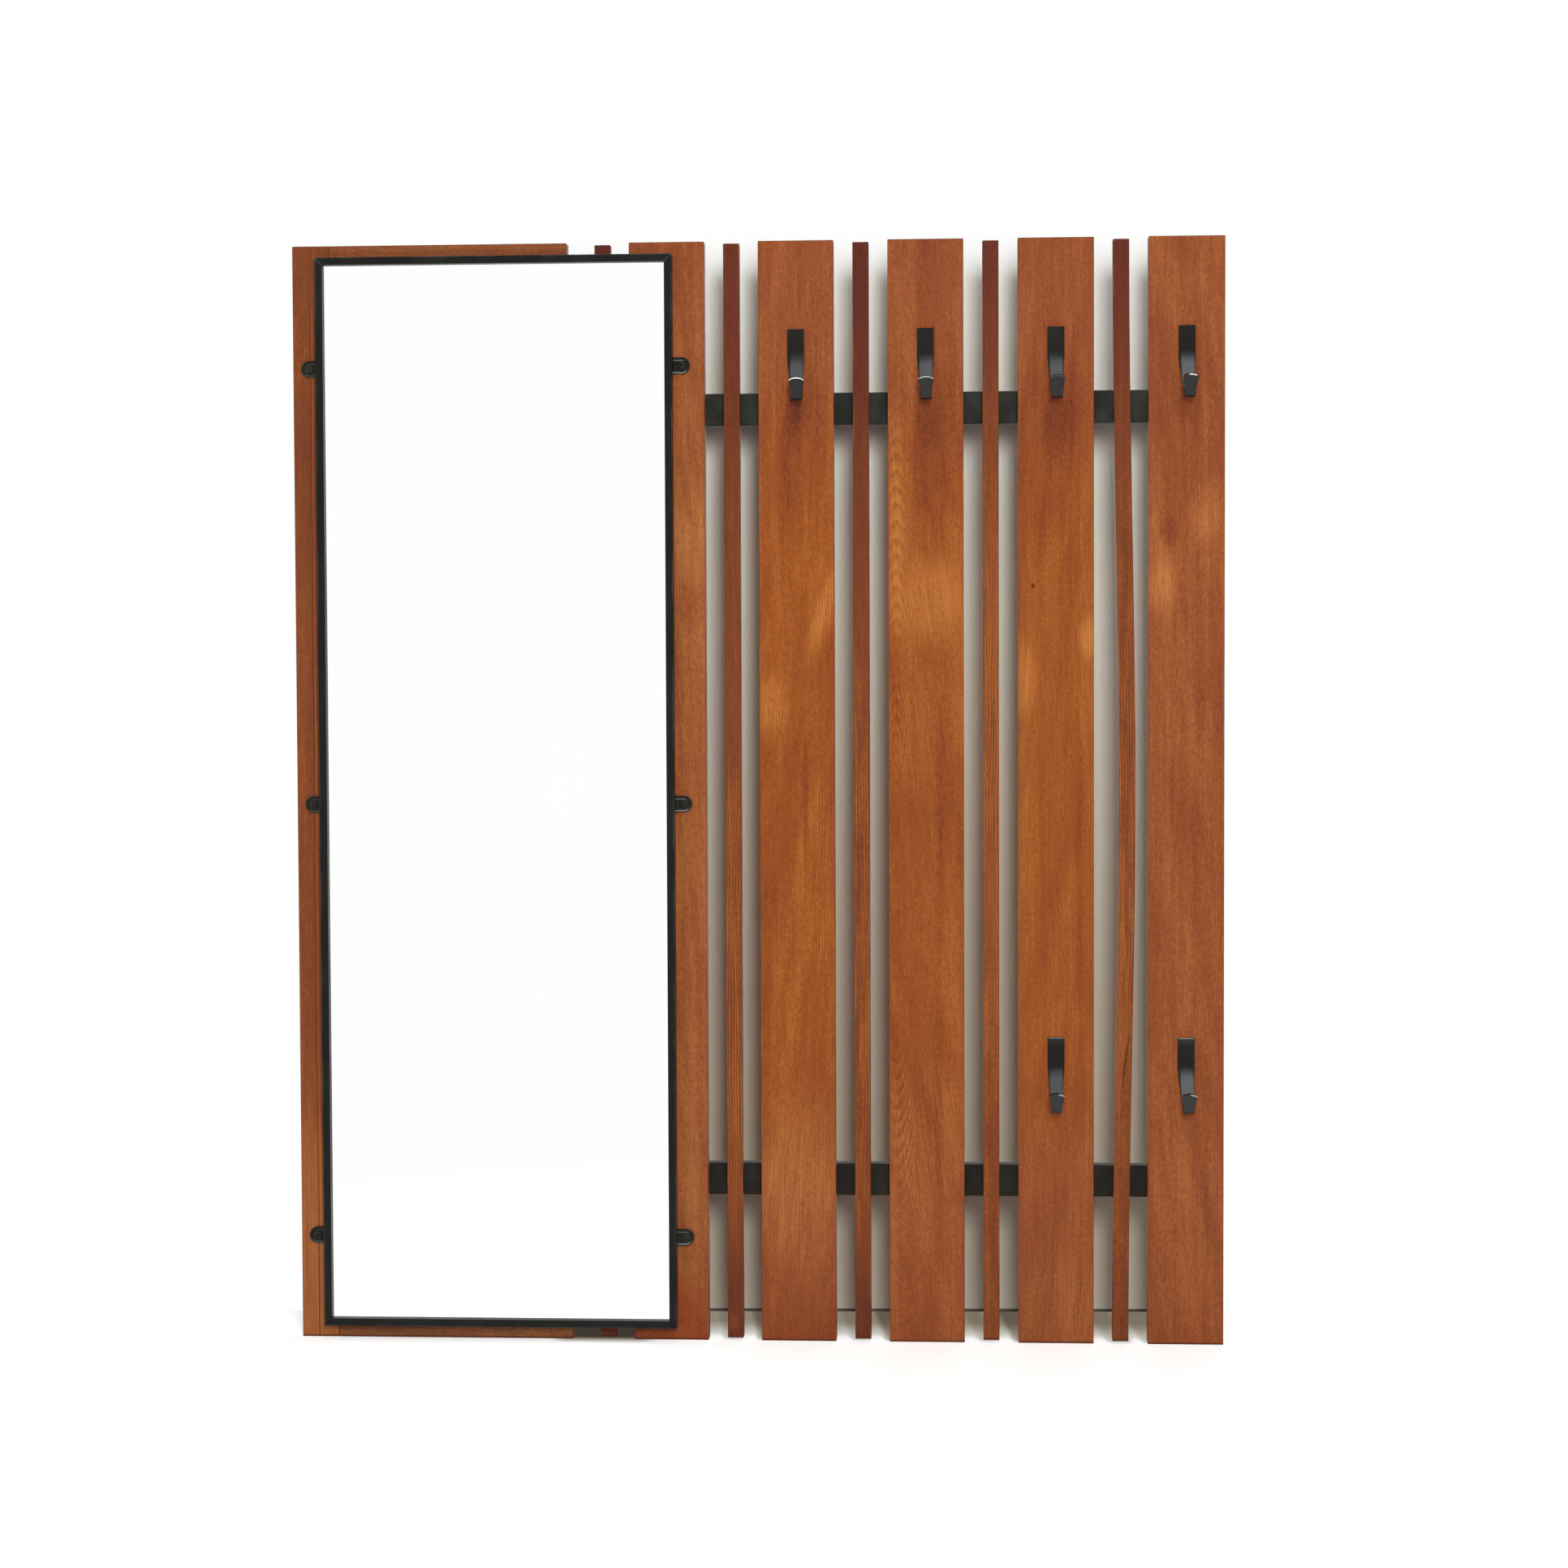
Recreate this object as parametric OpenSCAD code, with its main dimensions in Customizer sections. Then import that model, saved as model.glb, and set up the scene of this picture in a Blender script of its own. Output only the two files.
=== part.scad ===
// Wall coat rack: a framed mirror on a wooden panel beside five slatted boards
// with bent-strip hooks, carried by two steel tubes that hang on the wall.
// +X to the right, +Z up, the wall is the plane y = 0 and the front faces -Y.
// The origin is midway between the four keyholes in the tubes' back walls.

/* [Boards] */
// Length of the wide boards
board_len = 1026; // [900:1:1150]
// Width of the wide boards
board_w = 70; // [56:1:80]
// Thickness of the wide boards and of the mirror panel
board_t = 16; // [14:0.5:22]
// Distance from one board to the next
board_pitch = 120; // [110:1:140]
// Radius on the long edges of all wooden pieces
edge_r = 0.8; // [0.4:0.1:2]

/* [Battens] */
// Width of the narrow battens
batten_w = 15; // [10:0.5:20]
// Thickness of the narrow battens
batten_t = 12; // [9:0.5:16]
// How much shorter a batten is than a board, at each end
batten_short = 1.5; // [0:0.5:6]
// How far the last batten has bowed sideways, towards the last board
batten_bow = 6; // [0:0.5:8]

/* [Mirror panel] */
// Width of the upright at the outer side of the panel
stile_w = 35; // [32:1:45]
// Width of the hidden upright behind the mirror
inner_stile_w = 35; // [30:1:45]
// Length of the panel's cross rails
cross_len = 223; // [180:1:260]
// Height of the panel's cross rails
cross_h = 70; // [50:1:90]
// Clear gap between the panel and the first batten
panel_gap = 25.5; // [15:0.5:40]
// Diameter of the panel's dowels
dowel_d = 8; // [6:0.5:10]
// Length of the panel's dowels
dowel_len = 40; // [30:1:50]
// Distance from a cross rail's long edges to the middle of its dowels
dowel_edge = 15; // [12:1:19]

/* [Steel tubes] */
// Height of the tubes
tube_h = 30; // [26:1:40]
// Depth of the tubes, front to back
tube_d = 15; // [13:0.5:25]
// Wall of the tubes
tube_wall = 1.5; // [1:0.1:2.5]
// Distance from the boards' top ends to the middle of the upper tube
tube_top_inset = 154; // [130:1:180]
// Distance from the boards' bottom ends to the middle of the lower tube
tube_bottom_inset = 150; // [130:1:180]
// How far the tubes stop short of the rack's outer sides
tube_end_inset = 4; // [2:0.5:5]
// Depth of the plugs in the tubes' ends
plug_depth = 5; // [3:0.5:5.5]
// Thickness of the plugs' caps
plug_cap = 1.5; // [1:0.1:3]

/* [Wall keyholes] */
// Diameter of the round entry for the wall screw's head
keyhole_d = 10; // [9:0.5:11]
// Width of the slot for the wall screw's shank
keyhole_slot_w = 4.5; // [4:0.25:5]
// How far the slot rises above the centre of the entry
keyhole_rise = 9; // [7:0.5:11]
// How far the entry lies below the middle of the tube
keyhole_below = 5; // [3:0.5:6]

/* [Screws] */
// Shank diameter of the wood screws
screw_d = 4; // [3.5:0.1:4.5]
// Head diameter of the wood screws
screw_head_d = 8; // [7:0.1:8.5]
// Head height of the wood screws
screw_head_h = 2.4; // [2:0.1:3]
// Wood left in front of a screw's tip
screw_skin = 3.5; // [2.5:0.5:5]
// Distance between the two screws that hold a board to a tube
board_screw_span = 40; // [30:1:42]
// Hole in a tube's back wall that lets a screw head through
access_d = 9.5; // [9:0.1:10.5]
// Radial clearance round screws, studs and dowels
fit_gap = 0.1; // [0.05:0.01:0.2]

/* [Mirror] */
// How far the mirror stands in from the panel's outer side
mirror_inset = 24; // [20:0.5:26]
// How far the mirror reaches over the first board
mirror_over = 41; // [30:0.5:48]
// Distance from the boards' top ends to the mirror frame
mirror_top_inset = 12.5; // [6:0.5:30]
// Distance from the boards' bottom ends to the mirror frame
mirror_bottom_inset = 13.5; // [6:0.5:30]
// Width of the mirror frame's face
face_w = 7; // [5:0.5:10]
// Depth of the mirror frame, front to back
frame_depth = 14; // [13.5:0.5:20]
// Thickness of the frame's face, which sets the glass back
face_t = 5; // [2:0.5:5.5]
// Thickness of the frame's outer wall
frame_wall = 2; // [1.5:0.1:3]
// Thickness of the mirror glass
glass_t = 4; // [3:0.5:4]
// Thickness of the backing board
backing_t = 3; // [2:0.5:3]
// Gap round the glass and the backing inside the frame
glass_gap = 1; // [0.5:0.1:1.5]
// Length of the tabs that hold the backing
tab_len = 14; // [10:1:20]
// How far the tabs reach over the backing
tab_reach = 8; // [5:0.5:12]
// Thickness of the tabs
tab_t = 1; // [0.8:0.1:1.2]

/* [Mirror lugs] */
// Height of a lug, which is also its round end's diameter
lug_h = 15.5; // [13:0.5:18]
// Distance from the frame's side to the middle of a lug's screw
lug_screw_out = 8; // [7.5:0.5:9]
// Thickness of a lug's plate
lug_t = 2; // [1.5:0.1:3]
// Width of the raised rim round a lug
rim_w = 1.6; // [1:0.1:2]
// Height of the raised rim above the plate
rim_h = 1.2; // [0.6:0.1:2]
// Distance from the frame's top to the first lug
lug_top_inset = 102; // [60:1:140]
// Distance from the frame's bottom to the last lug
lug_bottom_inset = 84; // [60:1:140]
// Width of the cross recess in a lug screw's head
recess_w = 1; // [0.8:0.1:1.2]
// Depth of the cross recess in a lug screw's head
recess_depth = 1; // [0.5:0.1:1.2]

/* [Hooks] */
// Width of a hook's strip where it lies on the board
hook_w = 15.5; // [12:0.5:20]
// Thickness of a hook's strip
hook_t = 3; // [2:0.1:3.5]
// Length of the flat part on the board
hook_flat = 28; // [26:0.5:34]
// Height of a hook
hook_h = 67.5; // [60:0.5:80]
// How far the middle of a hook's tip stands out from the board
hook_reach = 36.5; // [33:0.5:45]
// How far a hook's lowest point stands out from the board
hook_bend_out = 22; // [18:0.5:25]
// Height of the turned-up lip
lip_h = 20; // [16:0.5:24]
// Inside radius of the bottom bend
bend_r = 3; // [2:0.5:4]
// Inside radius of the upper bend
knee_r = 8; // [4:0.5:12]
// Width of the strip at the bottom bend
waist_w = 10; // [8:0.5:12]
// Width of the lip at its tip
tip_w = 14; // [12:0.5:16]
// Rise of the arched edge at the lip's tip
tip_arch = 2; // [1:0.25:3]
// Distance from the boards' top ends to the upper hooks
hook_top_inset = 82; // [60:1:85]
// Distance from the boards' bottom ends to the top of the lower hooks
hook_low_up = 287; // [250:1:340]
// Diameter of the studs on a hook's back
stud_d = 4; // [3:0.5:5]
// Distance from a hook's top to its first stud
stud_inset = 7; // [6:0.5:8]
// Distance between a hook's two studs
stud_span = 13; // [11:0.5:14]
// Length of stud that stands out behind the nut
stud_spare = 1; // [0.5:0.5:2]
// Width of a nut across its flats
nut_af = 7; // [6.5:0.5:9]
// Height of a nut
nut_h = 3.2; // [2.4:0.1:4]
// Diameter of a washer
washer_d = 9; // [8:0.5:11]
// Thickness of a washer
washer_t = 0.8; // [0.5:0.1:1.2]

/* [Hidden] */
$fn = 48;

teak = "#9c5228";
dark_teak = "#7a3320";
pale_wood = "#c9a36a";
black_paint = "#26282a";
black_plastic = "#1c1c1e";
bare_steel = "#8d8f92";
silvered = "#dfe7ea";
hardboard = "#6b4a30";

cut = 1;             // how far a cutting solid runs past the face it cuts
bend_step = 6;       // degrees between the points of a bend
bow_steps = 36;      // points along each side of the bowed batten
recess_share = 0.55; // length of a screw's cross recess, as a share of its head
boards = 5;

// ---- across: x of every piece, from the left side of the rack ----
panel_w = stile_w + cross_len;
slot_w = (board_pitch - board_w - batten_w) / 2;
rack_w = panel_w + panel_gap + batten_w + slot_w + (boards - 1) * board_pitch + board_w;
x_left = -rack_w / 2;
x_right = rack_w / 2;
function board_x(n) = x_right - board_w / 2 - (boards - n) * board_pitch;
function batten_x(n) = board_x(n) - board_pitch / 2;
stile_x = x_left + stile_w / 2;
inner_stile_x = x_left + panel_w - inner_stile_w / 2;
board_screw_x = [for (n = [1:boards]) for (s = [-1, 1]) board_x(n) + s * board_screw_span / 2];
batten_screw_x = [for (n = [1:boards]) batten_x(n)];
panel_screw_x = [stile_x, inner_stile_x];
// the keyholes lie halfway between a screw of board 4 and the one of batten 5
keyhole_x = (board_x(4) + board_screw_span / 2 + batten_x(5)) / 2;

// ---- up: z of every piece, from the middle of the keyholes ----
tube_pitch = board_len - tube_top_inset - tube_bottom_inset;
tube_zs = [tube_pitch / 2 + keyhole_below, -tube_pitch / 2 + keyhole_below];
z_top = tube_zs[0] + tube_top_inset;
z_bottom = z_top - board_len;
upper_hook_z = z_top - hook_top_inset;
lower_hook_z = z_bottom + hook_low_up;
// hook n: [board it hangs on, z of its top end]
hook_spots = [
    [2, upper_hook_z], [3, upper_hook_z], [4, upper_hook_z], [5, upper_hook_z],
    [4, lower_hook_z], [5, lower_hook_z]
];

// ---- front to back: y of every layer, from the wall ----
y_wood = -tube_d;
y_front = y_wood - board_t;
y_glass_front = y_front - frame_depth + face_t;
y_glass = y_glass_front + glass_t;
y_backing = y_glass + backing_t;
y_stud_end = y_wood + washer_t + nut_h + stud_spare;

// ---- mirror frame ----
mirror_x0 = x_left + mirror_inset;
mirror_x1 = board_x(1) - board_w / 2 + mirror_over;
mirror_z1 = z_top - mirror_top_inset;
mirror_z0 = z_bottom + mirror_bottom_inset;
mirror_w = mirror_x1 - mirror_x0;
mirror_h = mirror_z1 - mirror_z0;
mirror_cx = (mirror_x0 + mirror_x1) / 2;
mirror_cz = (mirror_z0 + mirror_z1) / 2;
lug_z_top = mirror_z1 - lug_top_inset;
lug_z_bottom = mirror_z0 + lug_bottom_inset;
lug_zs = [lug_z_top, (lug_z_top + lug_z_bottom) / 2, lug_z_bottom];
// side -1 is the left one; a lug's screw passes into the upright or board under it
function lug_screw_x(side) = mirror_cx + side * (mirror_w / 2 + lug_screw_out);

// ---- hook: its side view, measured [out from the board, down from its top] ----
strip_r = hook_t / 2;
knee_mid_r = knee_r + strip_r;
bend_mid_r = bend_r + strip_r;
knee_c = [hook_t + knee_r, hook_flat];
bend_c = [hook_bend_out, hook_h - hook_t - bend_r];
tip = [hook_reach, hook_h - lip_h];
// the straight legs touch both arcs, so these angles point at where they do
shank = bend_c - knee_c;
knee_end = atan2(shank[1], shank[0]) + acos((knee_mid_r - bend_mid_r) / norm(shank));
lip = tip - bend_c;
bend_end = atan2(lip[1], lip[0]) + acos(bend_mid_r / norm(lip));

// the lip's highest point, and where the shank and the lip have narrowed to the waist
tip_z = strip_r * sin(bend_end) - tip[1];
bend_z = hook_t + bend_r - hook_h;

// ======== small helpers ========

// a round bar along y, from y0 (nearer the wall) forward to y1
module bar_y(x, z, y0, y1, d) {
    translate([x, y0, z]) rotate([90, 0, 0]) cylinder(d = d, h = y0 - y1);
}

// a box between two opposite corners
module block(a, b) {
    translate(a) cube(b - a);
}

// a rectangle with round corners, centred
module round_rect(w, d, r) {
    square([w - 2 * r, d], center = true);
    square([w, d - 2 * r], center = true);
    for (sx = [-1, 1]) for (sy = [-1, 1])
        translate([sx * (w / 2 - r), sy * (d / 2 - r)]) circle(r);
}

// an upright piece of wood whose back lies on the tubes
module upright(x, z0, z1, w, t) {
    translate([x, y_wood - t / 2, z0]) linear_extrude(z1 - z0) round_rect(w, t, edge_r);
}

// screw holes at the tubes' height, drilled into the back of a piece of thickness t
module tube_screw_holes(xs, t) {
    for (x = xs) for (z = tube_zs)
        bar_y(x, z, y_wood + cut, y_wood - t + screw_skin - fit_gap, screw_d + 2 * fit_gap);
}

// a pan-head screw: its head stands on z = 0 and its shank reaches down by len
module pan_screw(len) {
    rotate_extrude() polygon([
        [0, -len], [screw_d / 2, -len], [screw_d / 2, 0],
        [screw_head_d / 2, 0], [screw_head_d / 2, screw_head_h / 2],
        [screw_head_d / 3, screw_head_h], [0, screw_head_h]
    ]);
}

// ======== steel tubes ========

module tube(z) {
    x0 = x_left + tube_end_inset;
    x1 = x_right - tube_end_inset;
    half = tube_h / 2;
    inner = half - tube_wall;
    color(black_paint) difference() {
        block([x0, -tube_d, z - half], [x1, 0, z + half]);
        block([x0 - cut, -tube_d + tube_wall, z - inner], [x1 + cut, -tube_wall, z + inner]);
        for (x = concat(board_screw_x, batten_screw_x, panel_screw_x)) {
            bar_y(x, z, -tube_d / 2, -tube_d - cut, screw_d + 2 * fit_gap);
            bar_y(x, z, cut, -tube_d / 2, access_d);
        }
        for (side = [-1, 1]) keyhole(side * keyhole_x, z - keyhole_below);
    }
}

// the round entry and the slot above it, through a tube's back wall
module keyhole(x, z) {
    half = keyhole_slot_w / 2;
    bar_y(x, z, cut, -tube_wall - cut, keyhole_d);
    bar_y(x, z + keyhole_rise, cut, -tube_wall - cut, keyhole_slot_w);
    block([x - half, -tube_wall - cut, z], [x + half, cut, z + keyhole_rise]);
}

// a cap on each end of each tube, with a short spigot inside
module tube_end_plugs() {
    spigot_h = tube_h - 2 * tube_wall - 2 * fit_gap;
    spigot_d = tube_d - 2 * tube_wall - 2 * fit_gap;
    color(black_plastic) for (z = tube_zs) for (side = [-1, 1])
        translate([side * (x_right - tube_end_inset), -tube_d / 2, z]) {
            translate([side * plug_cap / 2, 0, 0])
                cube([plug_cap, tube_d, tube_h], center = true);
            translate([-side * plug_depth / 2, 0, 0])
                cube([plug_depth, spigot_d, spigot_h], center = true);
        }
}

// the heads lie inside the tubes, on the back of their front walls
module tube_screws(xs, t) {
    color(bare_steel) for (x = xs) for (z = tube_zs)
        translate([x, -tube_d + tube_wall, z]) rotate([-90, 0, 0])
            pan_screw(tube_wall + t - screw_skin);
}

// ======== boards and battens ========

module board(n) {
    x = board_x(n);
    color(teak) difference() {
        upright(x, z_bottom, z_top, board_w, board_t);
        tube_screw_holes([x - board_screw_span / 2, x + board_screw_span / 2], board_t);
        if (n == 1) lug_screw_holes(1);
        for (spot = hook_spots) if (spot[0] == n) stud_holes(x, spot[1]);
    }
}

module batten(n) {
    x = batten_x(n);
    z0 = z_bottom + batten_short;
    z1 = z_top - batten_short;
    color(dark_teak) difference() {
        if (n < boards) upright(x, z0, z1, batten_w, batten_t);
        else bowed_upright(x, z0, z1, batten_w, batten_t, batten_bow);
        tube_screw_holes([x], batten_t);
    }
}

// an upright that bends sideways by bow in the middle and runs straight at its ends
module bowed_upright(x, z0, z1, w, t, bow) {
    side = [for (i = [0:bow_steps]) let (u = i / bow_steps)
        [bow * (1 - cos(360 * u)) / 2, z0 + (z1 - z0) * u]];
    translate([x, y_wood, 0]) rotate([90, 0, 0]) linear_extrude(t) polygon(concat(
        [for (p = side) p + [w / 2, 0]],
        [for (i = [bow_steps:-1:0]) side[i] - [w / 2, 0]]
    ));
}

module lug_screw_holes(side) {
    for (z = lug_zs)
        bar_y(lug_screw_x(side), z, y_wood - screw_skin + fit_gap, y_front - cut,
            screw_d + 2 * fit_gap);
}

module stud_holes(x, z_hook) {
    for (k = [0, 1])
        bar_y(x, z_hook - stud_inset - k * stud_span, y_wood + cut, y_front - cut,
            stud_d + 2 * fit_gap);
}

// ======== mirror panel ========

module panel_stile_outer() {
    color(teak) difference() {
        upright(stile_x, z_bottom, z_top, stile_w, board_t);
        tube_screw_holes([stile_x], board_t);
        lug_screw_holes(-1);
        dowels(fit_gap);
    }
}

module panel_stile_inner() {
    color(teak) difference() {
        upright(inner_stile_x, z_bottom + cross_h, z_top - cross_h, inner_stile_w, board_t);
        tube_screw_holes([inner_stile_x], board_t);
        dowels(fit_gap);
    }
}

// a cross rail of the panel, whose lower edge is at z0
module cross_rail(z0) {
    color(teak) difference() {
        translate([x_left + stile_w, y_wood - board_t / 2, z0 + cross_h / 2])
            rotate([0, 90, 0]) linear_extrude(cross_len) round_rect(cross_h, board_t, edge_r);
        dowels(fit_gap);
    }
}

// two dowels in each joint of the panel; gap widens them into their holes
module dowels(gap) {
    d = dowel_d + 2 * gap;
    h = dowel_len + 2 * gap;
    y = y_wood - board_t / 2;
    for (end = [-1, 1]) {
        z_end = end > 0 ? z_top : z_bottom;
        for (in = [dowel_edge, cross_h - dowel_edge])
            translate([x_left + stile_w, y, z_end - end * in])
                rotate([0, 90, 0]) cylinder(d = d, h = h, center = true);
        for (side = [-1, 1])
            translate([inner_stile_x + side * inner_stile_w / 4, y, z_end - end * cross_h])
                cylinder(d = d, h = h, center = true);
    }
}

// ======== mirror ========

// one bar of the frame along z, mitred at both ends: an angle with its face in front
// and its outer wall at x = 0
module frame_bar(len) {
    end = len / 2;
    far = face_w + cut;
    intersection() {
        translate([0, 0, -end]) linear_extrude(len) {
            translate([-face_w, -frame_depth]) square([face_w, face_t]);
            translate([-frame_wall, -frame_depth]) square([frame_wall, frame_depth]);
        }
        translate([0, cut, 0]) rotate([90, 0, 0]) linear_extrude(frame_depth + 2 * cut)
            polygon([[0, -end], [0, end], [-far, end - far], [-far, far - end]]);
    }
}

// the bar whose outer wall is at x and z, turned about y to face outwards
module mirror_bar(x, z, len, turn) {
    color(black_paint) translate([x, y_front, z]) rotate([0, turn, 0]) frame_bar(len);
}

// the glass and the backing lie behind the frame's face
module mirror_sheet(y0, y1) {
    m = frame_wall + glass_gap;
    block([mirror_x0 + m, y0, mirror_z0 + m], [mirror_x1 - m, y1, mirror_z1 - m]);
}

// thin tabs inside the frame's outer wall, flat on the back of the backing
module backing_tabs() {
    reach = tab_reach + glass_gap;
    from_side = frame_wall + reach / 2;
    color(bare_steel) translate([mirror_cx, y_backing + tab_t / 2, 0]) {
        for (z = lug_zs) for (side = [-1, 1])
            translate([side * (mirror_w / 2 - from_side), 0, z])
                cube([reach, tab_t, tab_len], center = true);
        for (z = [mirror_z0 + from_side, mirror_z1 - from_side])
            translate([0, 0, z]) cube([tab_len, tab_t, reach], center = true);
    }
}

// a lug's outline of half height r, from x = -back to its round end
module lug_outline(r, back) {
    translate([-back, -r]) square([lug_screw_out + back, 2 * r]);
    translate([lug_screw_out, 0]) circle(r);
}

// a plate on the wood with a raised rim; side is -1 at the left of the mirror
module mirror_lug(side, z) {
    color(black_paint)
        translate([side > 0 ? mirror_x1 : mirror_x0, y_front, z])
        rotate([0, side > 0 ? 0 : 180, 0]) rotate([90, 0, 0])
        difference() {
            linear_extrude(lug_t + rim_h) lug_outline(lug_h / 2, 0);
            translate([0, 0, lug_t]) linear_extrude(rim_h + cut)
                lug_outline(lug_h / 2 - rim_w, cut);
            translate([lug_screw_out, 0, -cut])
                cylinder(d = screw_d + 2 * fit_gap, h = lug_t + 2 * cut);
        }
}

module lug_screws() {
    color(black_paint) for (side = [-1, 1]) for (z = lug_zs)
        translate([lug_screw_x(side), y_front - lug_t, z]) rotate([90, 0, 0]) difference() {
            pan_screw(lug_t + board_t - screw_skin);
            for (a = [0, 90]) rotate([0, 0, a])
                translate([0, 0, screw_head_h])
                cube([screw_head_d * recess_share, recess_w, 2 * recess_depth], center = true);
        }
}

// ======== hooks ========

// points on an arc about c, from angle a0 to angle a1
function arc(c, r, a0, a1) =
    let (n = ceil(abs(a1 - a0) / bend_step))
    [for (i = [0:n]) let (a = a0 + (a1 - a0) * i / n) c + r * [cos(a), sin(a)]];

// one face of the strip at s from its middle line, from its top end to its tip
function strip_face(s) = concat(
    [[strip_r - s, 0]],
    arc(knee_c, knee_mid_r + s, 180, knee_end),
    arc(bend_c, bend_mid_r + s, knee_end, bend_end),
    [tip + s * [cos(bend_end), sin(bend_end)]]
);

// the bent strip, w wide, with its back on y = 0 and its top end at z = 0
module bent_strip(w) {
    under = strip_face(strip_r);
    inside = strip_face(-strip_r);
    outline = concat(under, [for (i = [len(inside) - 1:-1:0]) inside[i]]);
    rotate([90, 0, 90]) linear_extrude(w, center = true) polygon(-outline);
}

// a shape drawn on x and z, extruded forward from y0 to y1
module front_view(y0, y1) {
    translate([0, y0, 0]) rotate([90, 0, 0]) linear_extrude(y0 - y1) children();
}

// the outline of the flat part and the shank, down to the waist
module shank_view() {
    polygon([
        [hook_w / 2, cut], [hook_w / 2, -hook_flat], [waist_w / 2, bend_z],
        [waist_w / 2, -hook_h - cut], [-waist_w / 2, -hook_h - cut],
        [-waist_w / 2, bend_z], [-hook_w / 2, -hook_flat], [-hook_w / 2, cut]
    ]);
}

// the outline of the lip, wider towards its arched edge
module lip_view() {
    arch_r = (pow(tip_w / 2, 2) + pow(tip_arch, 2)) / (2 * tip_arch);
    intersection() {
        polygon([
            [tip_w / 2, tip_z], [waist_w / 2, bend_z], [waist_w / 2, -hook_h - cut],
            [-waist_w / 2, -hook_h - cut], [-waist_w / 2, bend_z], [-tip_w / 2, tip_z]
        ]);
        translate([0, tip_z - arch_r]) circle(arch_r, $fn = 96);
    }
}

module hook(n) {
    x = board_x(hook_spots[n - 1][0]);
    z = hook_spots[n - 1][1];
    color(black_paint) {
        translate([x, y_front, z]) {
            intersection() {
                bent_strip(hook_w + tip_w);
                front_view(cut, -hook_bend_out) shank_view();
            }
            intersection() {
                bent_strip(hook_w + tip_w);
                front_view(-hook_bend_out, -hook_reach - hook_t) lip_view();
            }
        }
        for (k = [0, 1])
            bar_y(x, z - stud_inset - k * stud_span, y_stud_end, y_front - strip_r, stud_d);
    }
}

// draws its children on every stud, with z = 0 at y_seat and +z towards the wall
module on_studs(y_seat) {
    for (spot = hook_spots) for (k = [0, 1])
        translate([board_x(spot[0]), y_seat, spot[1] - stud_inset - k * stud_span])
            rotate([-90, 0, 0]) children();
}

module hook_washers() {
    color(bare_steel) on_studs(y_wood) difference() {
        cylinder(d = washer_d, h = washer_t);
        translate([0, 0, -cut]) cylinder(d = stud_d + 2 * fit_gap, h = washer_t + 2 * cut);
    }
}

module hook_nuts() {
    color(bare_steel) on_studs(y_wood + washer_t) difference() {
        cylinder(d = nut_af / cos(30), h = nut_h, $fn = 6);
        translate([0, 0, -cut]) cylinder(d = stud_d + 2 * fit_gap, h = nut_h + 2 * cut);
    }
}

// ======== the assembly ========

tube(tube_zs[0]);  // tube_upper
tube(tube_zs[1]);  // tube_lower
tube_end_plugs();
board(1);  // board_1
board(2);  // board_2
board(3);  // board_3
board(4);  // board_4
board(5);  // board_5
batten(1);  // batten_1
batten(2);  // batten_2
batten(3);  // batten_3
batten(4);  // batten_4
batten(5);  // batten_5
panel_stile_outer();
panel_stile_inner();
cross_rail(z_top - cross_h);  // panel_rail_top
cross_rail(z_bottom);  // panel_rail_bottom
color(pale_wood) dowels(0);  // panel_dowels
tube_screws(board_screw_x, board_t);  // board_screws
tube_screws(batten_screw_x, batten_t);  // batten_screws
tube_screws(panel_screw_x, board_t);  // panel_screws
mirror_bar(mirror_cx, mirror_z1, mirror_w, -90);  // mirror_frame_top
mirror_bar(mirror_cx, mirror_z0, mirror_w, 90);  // mirror_frame_bottom
mirror_bar(mirror_x0, mirror_cz, mirror_h, 180);  // mirror_frame_left
mirror_bar(mirror_x1, mirror_cz, mirror_h, 0);  // mirror_frame_right
color(silvered) mirror_sheet(y_glass_front, y_glass);  // mirror_glass
color(hardboard) mirror_sheet(y_glass, y_backing);  // mirror_backing
backing_tabs();
mirror_lug(-1, lug_zs[0]);  // mirror_lug_left_top
mirror_lug(-1, lug_zs[1]);  // mirror_lug_left_middle
mirror_lug(-1, lug_zs[2]);  // mirror_lug_left_bottom
mirror_lug(1, lug_zs[0]);  // mirror_lug_right_top
mirror_lug(1, lug_zs[1]);  // mirror_lug_right_middle
mirror_lug(1, lug_zs[2]);  // mirror_lug_right_bottom
lug_screws();
hook(1);  // hook_1
hook(2);  // hook_2
hook(3);  // hook_3
hook(4);  // hook_4
hook(5);  // hook_5
hook(6);  // hook_6
hook_washers();
hook_nuts();
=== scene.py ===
"""A wall coat rack of upright boards with a framed mirror, dressed over its packed CAD model."""

import math
from typing import NamedTuple

import bmesh
import bpy
from bpy.props import FloatProperty, FloatVectorProperty, IntProperty, PointerProperty
from mathutils import Matrix, Vector


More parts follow.
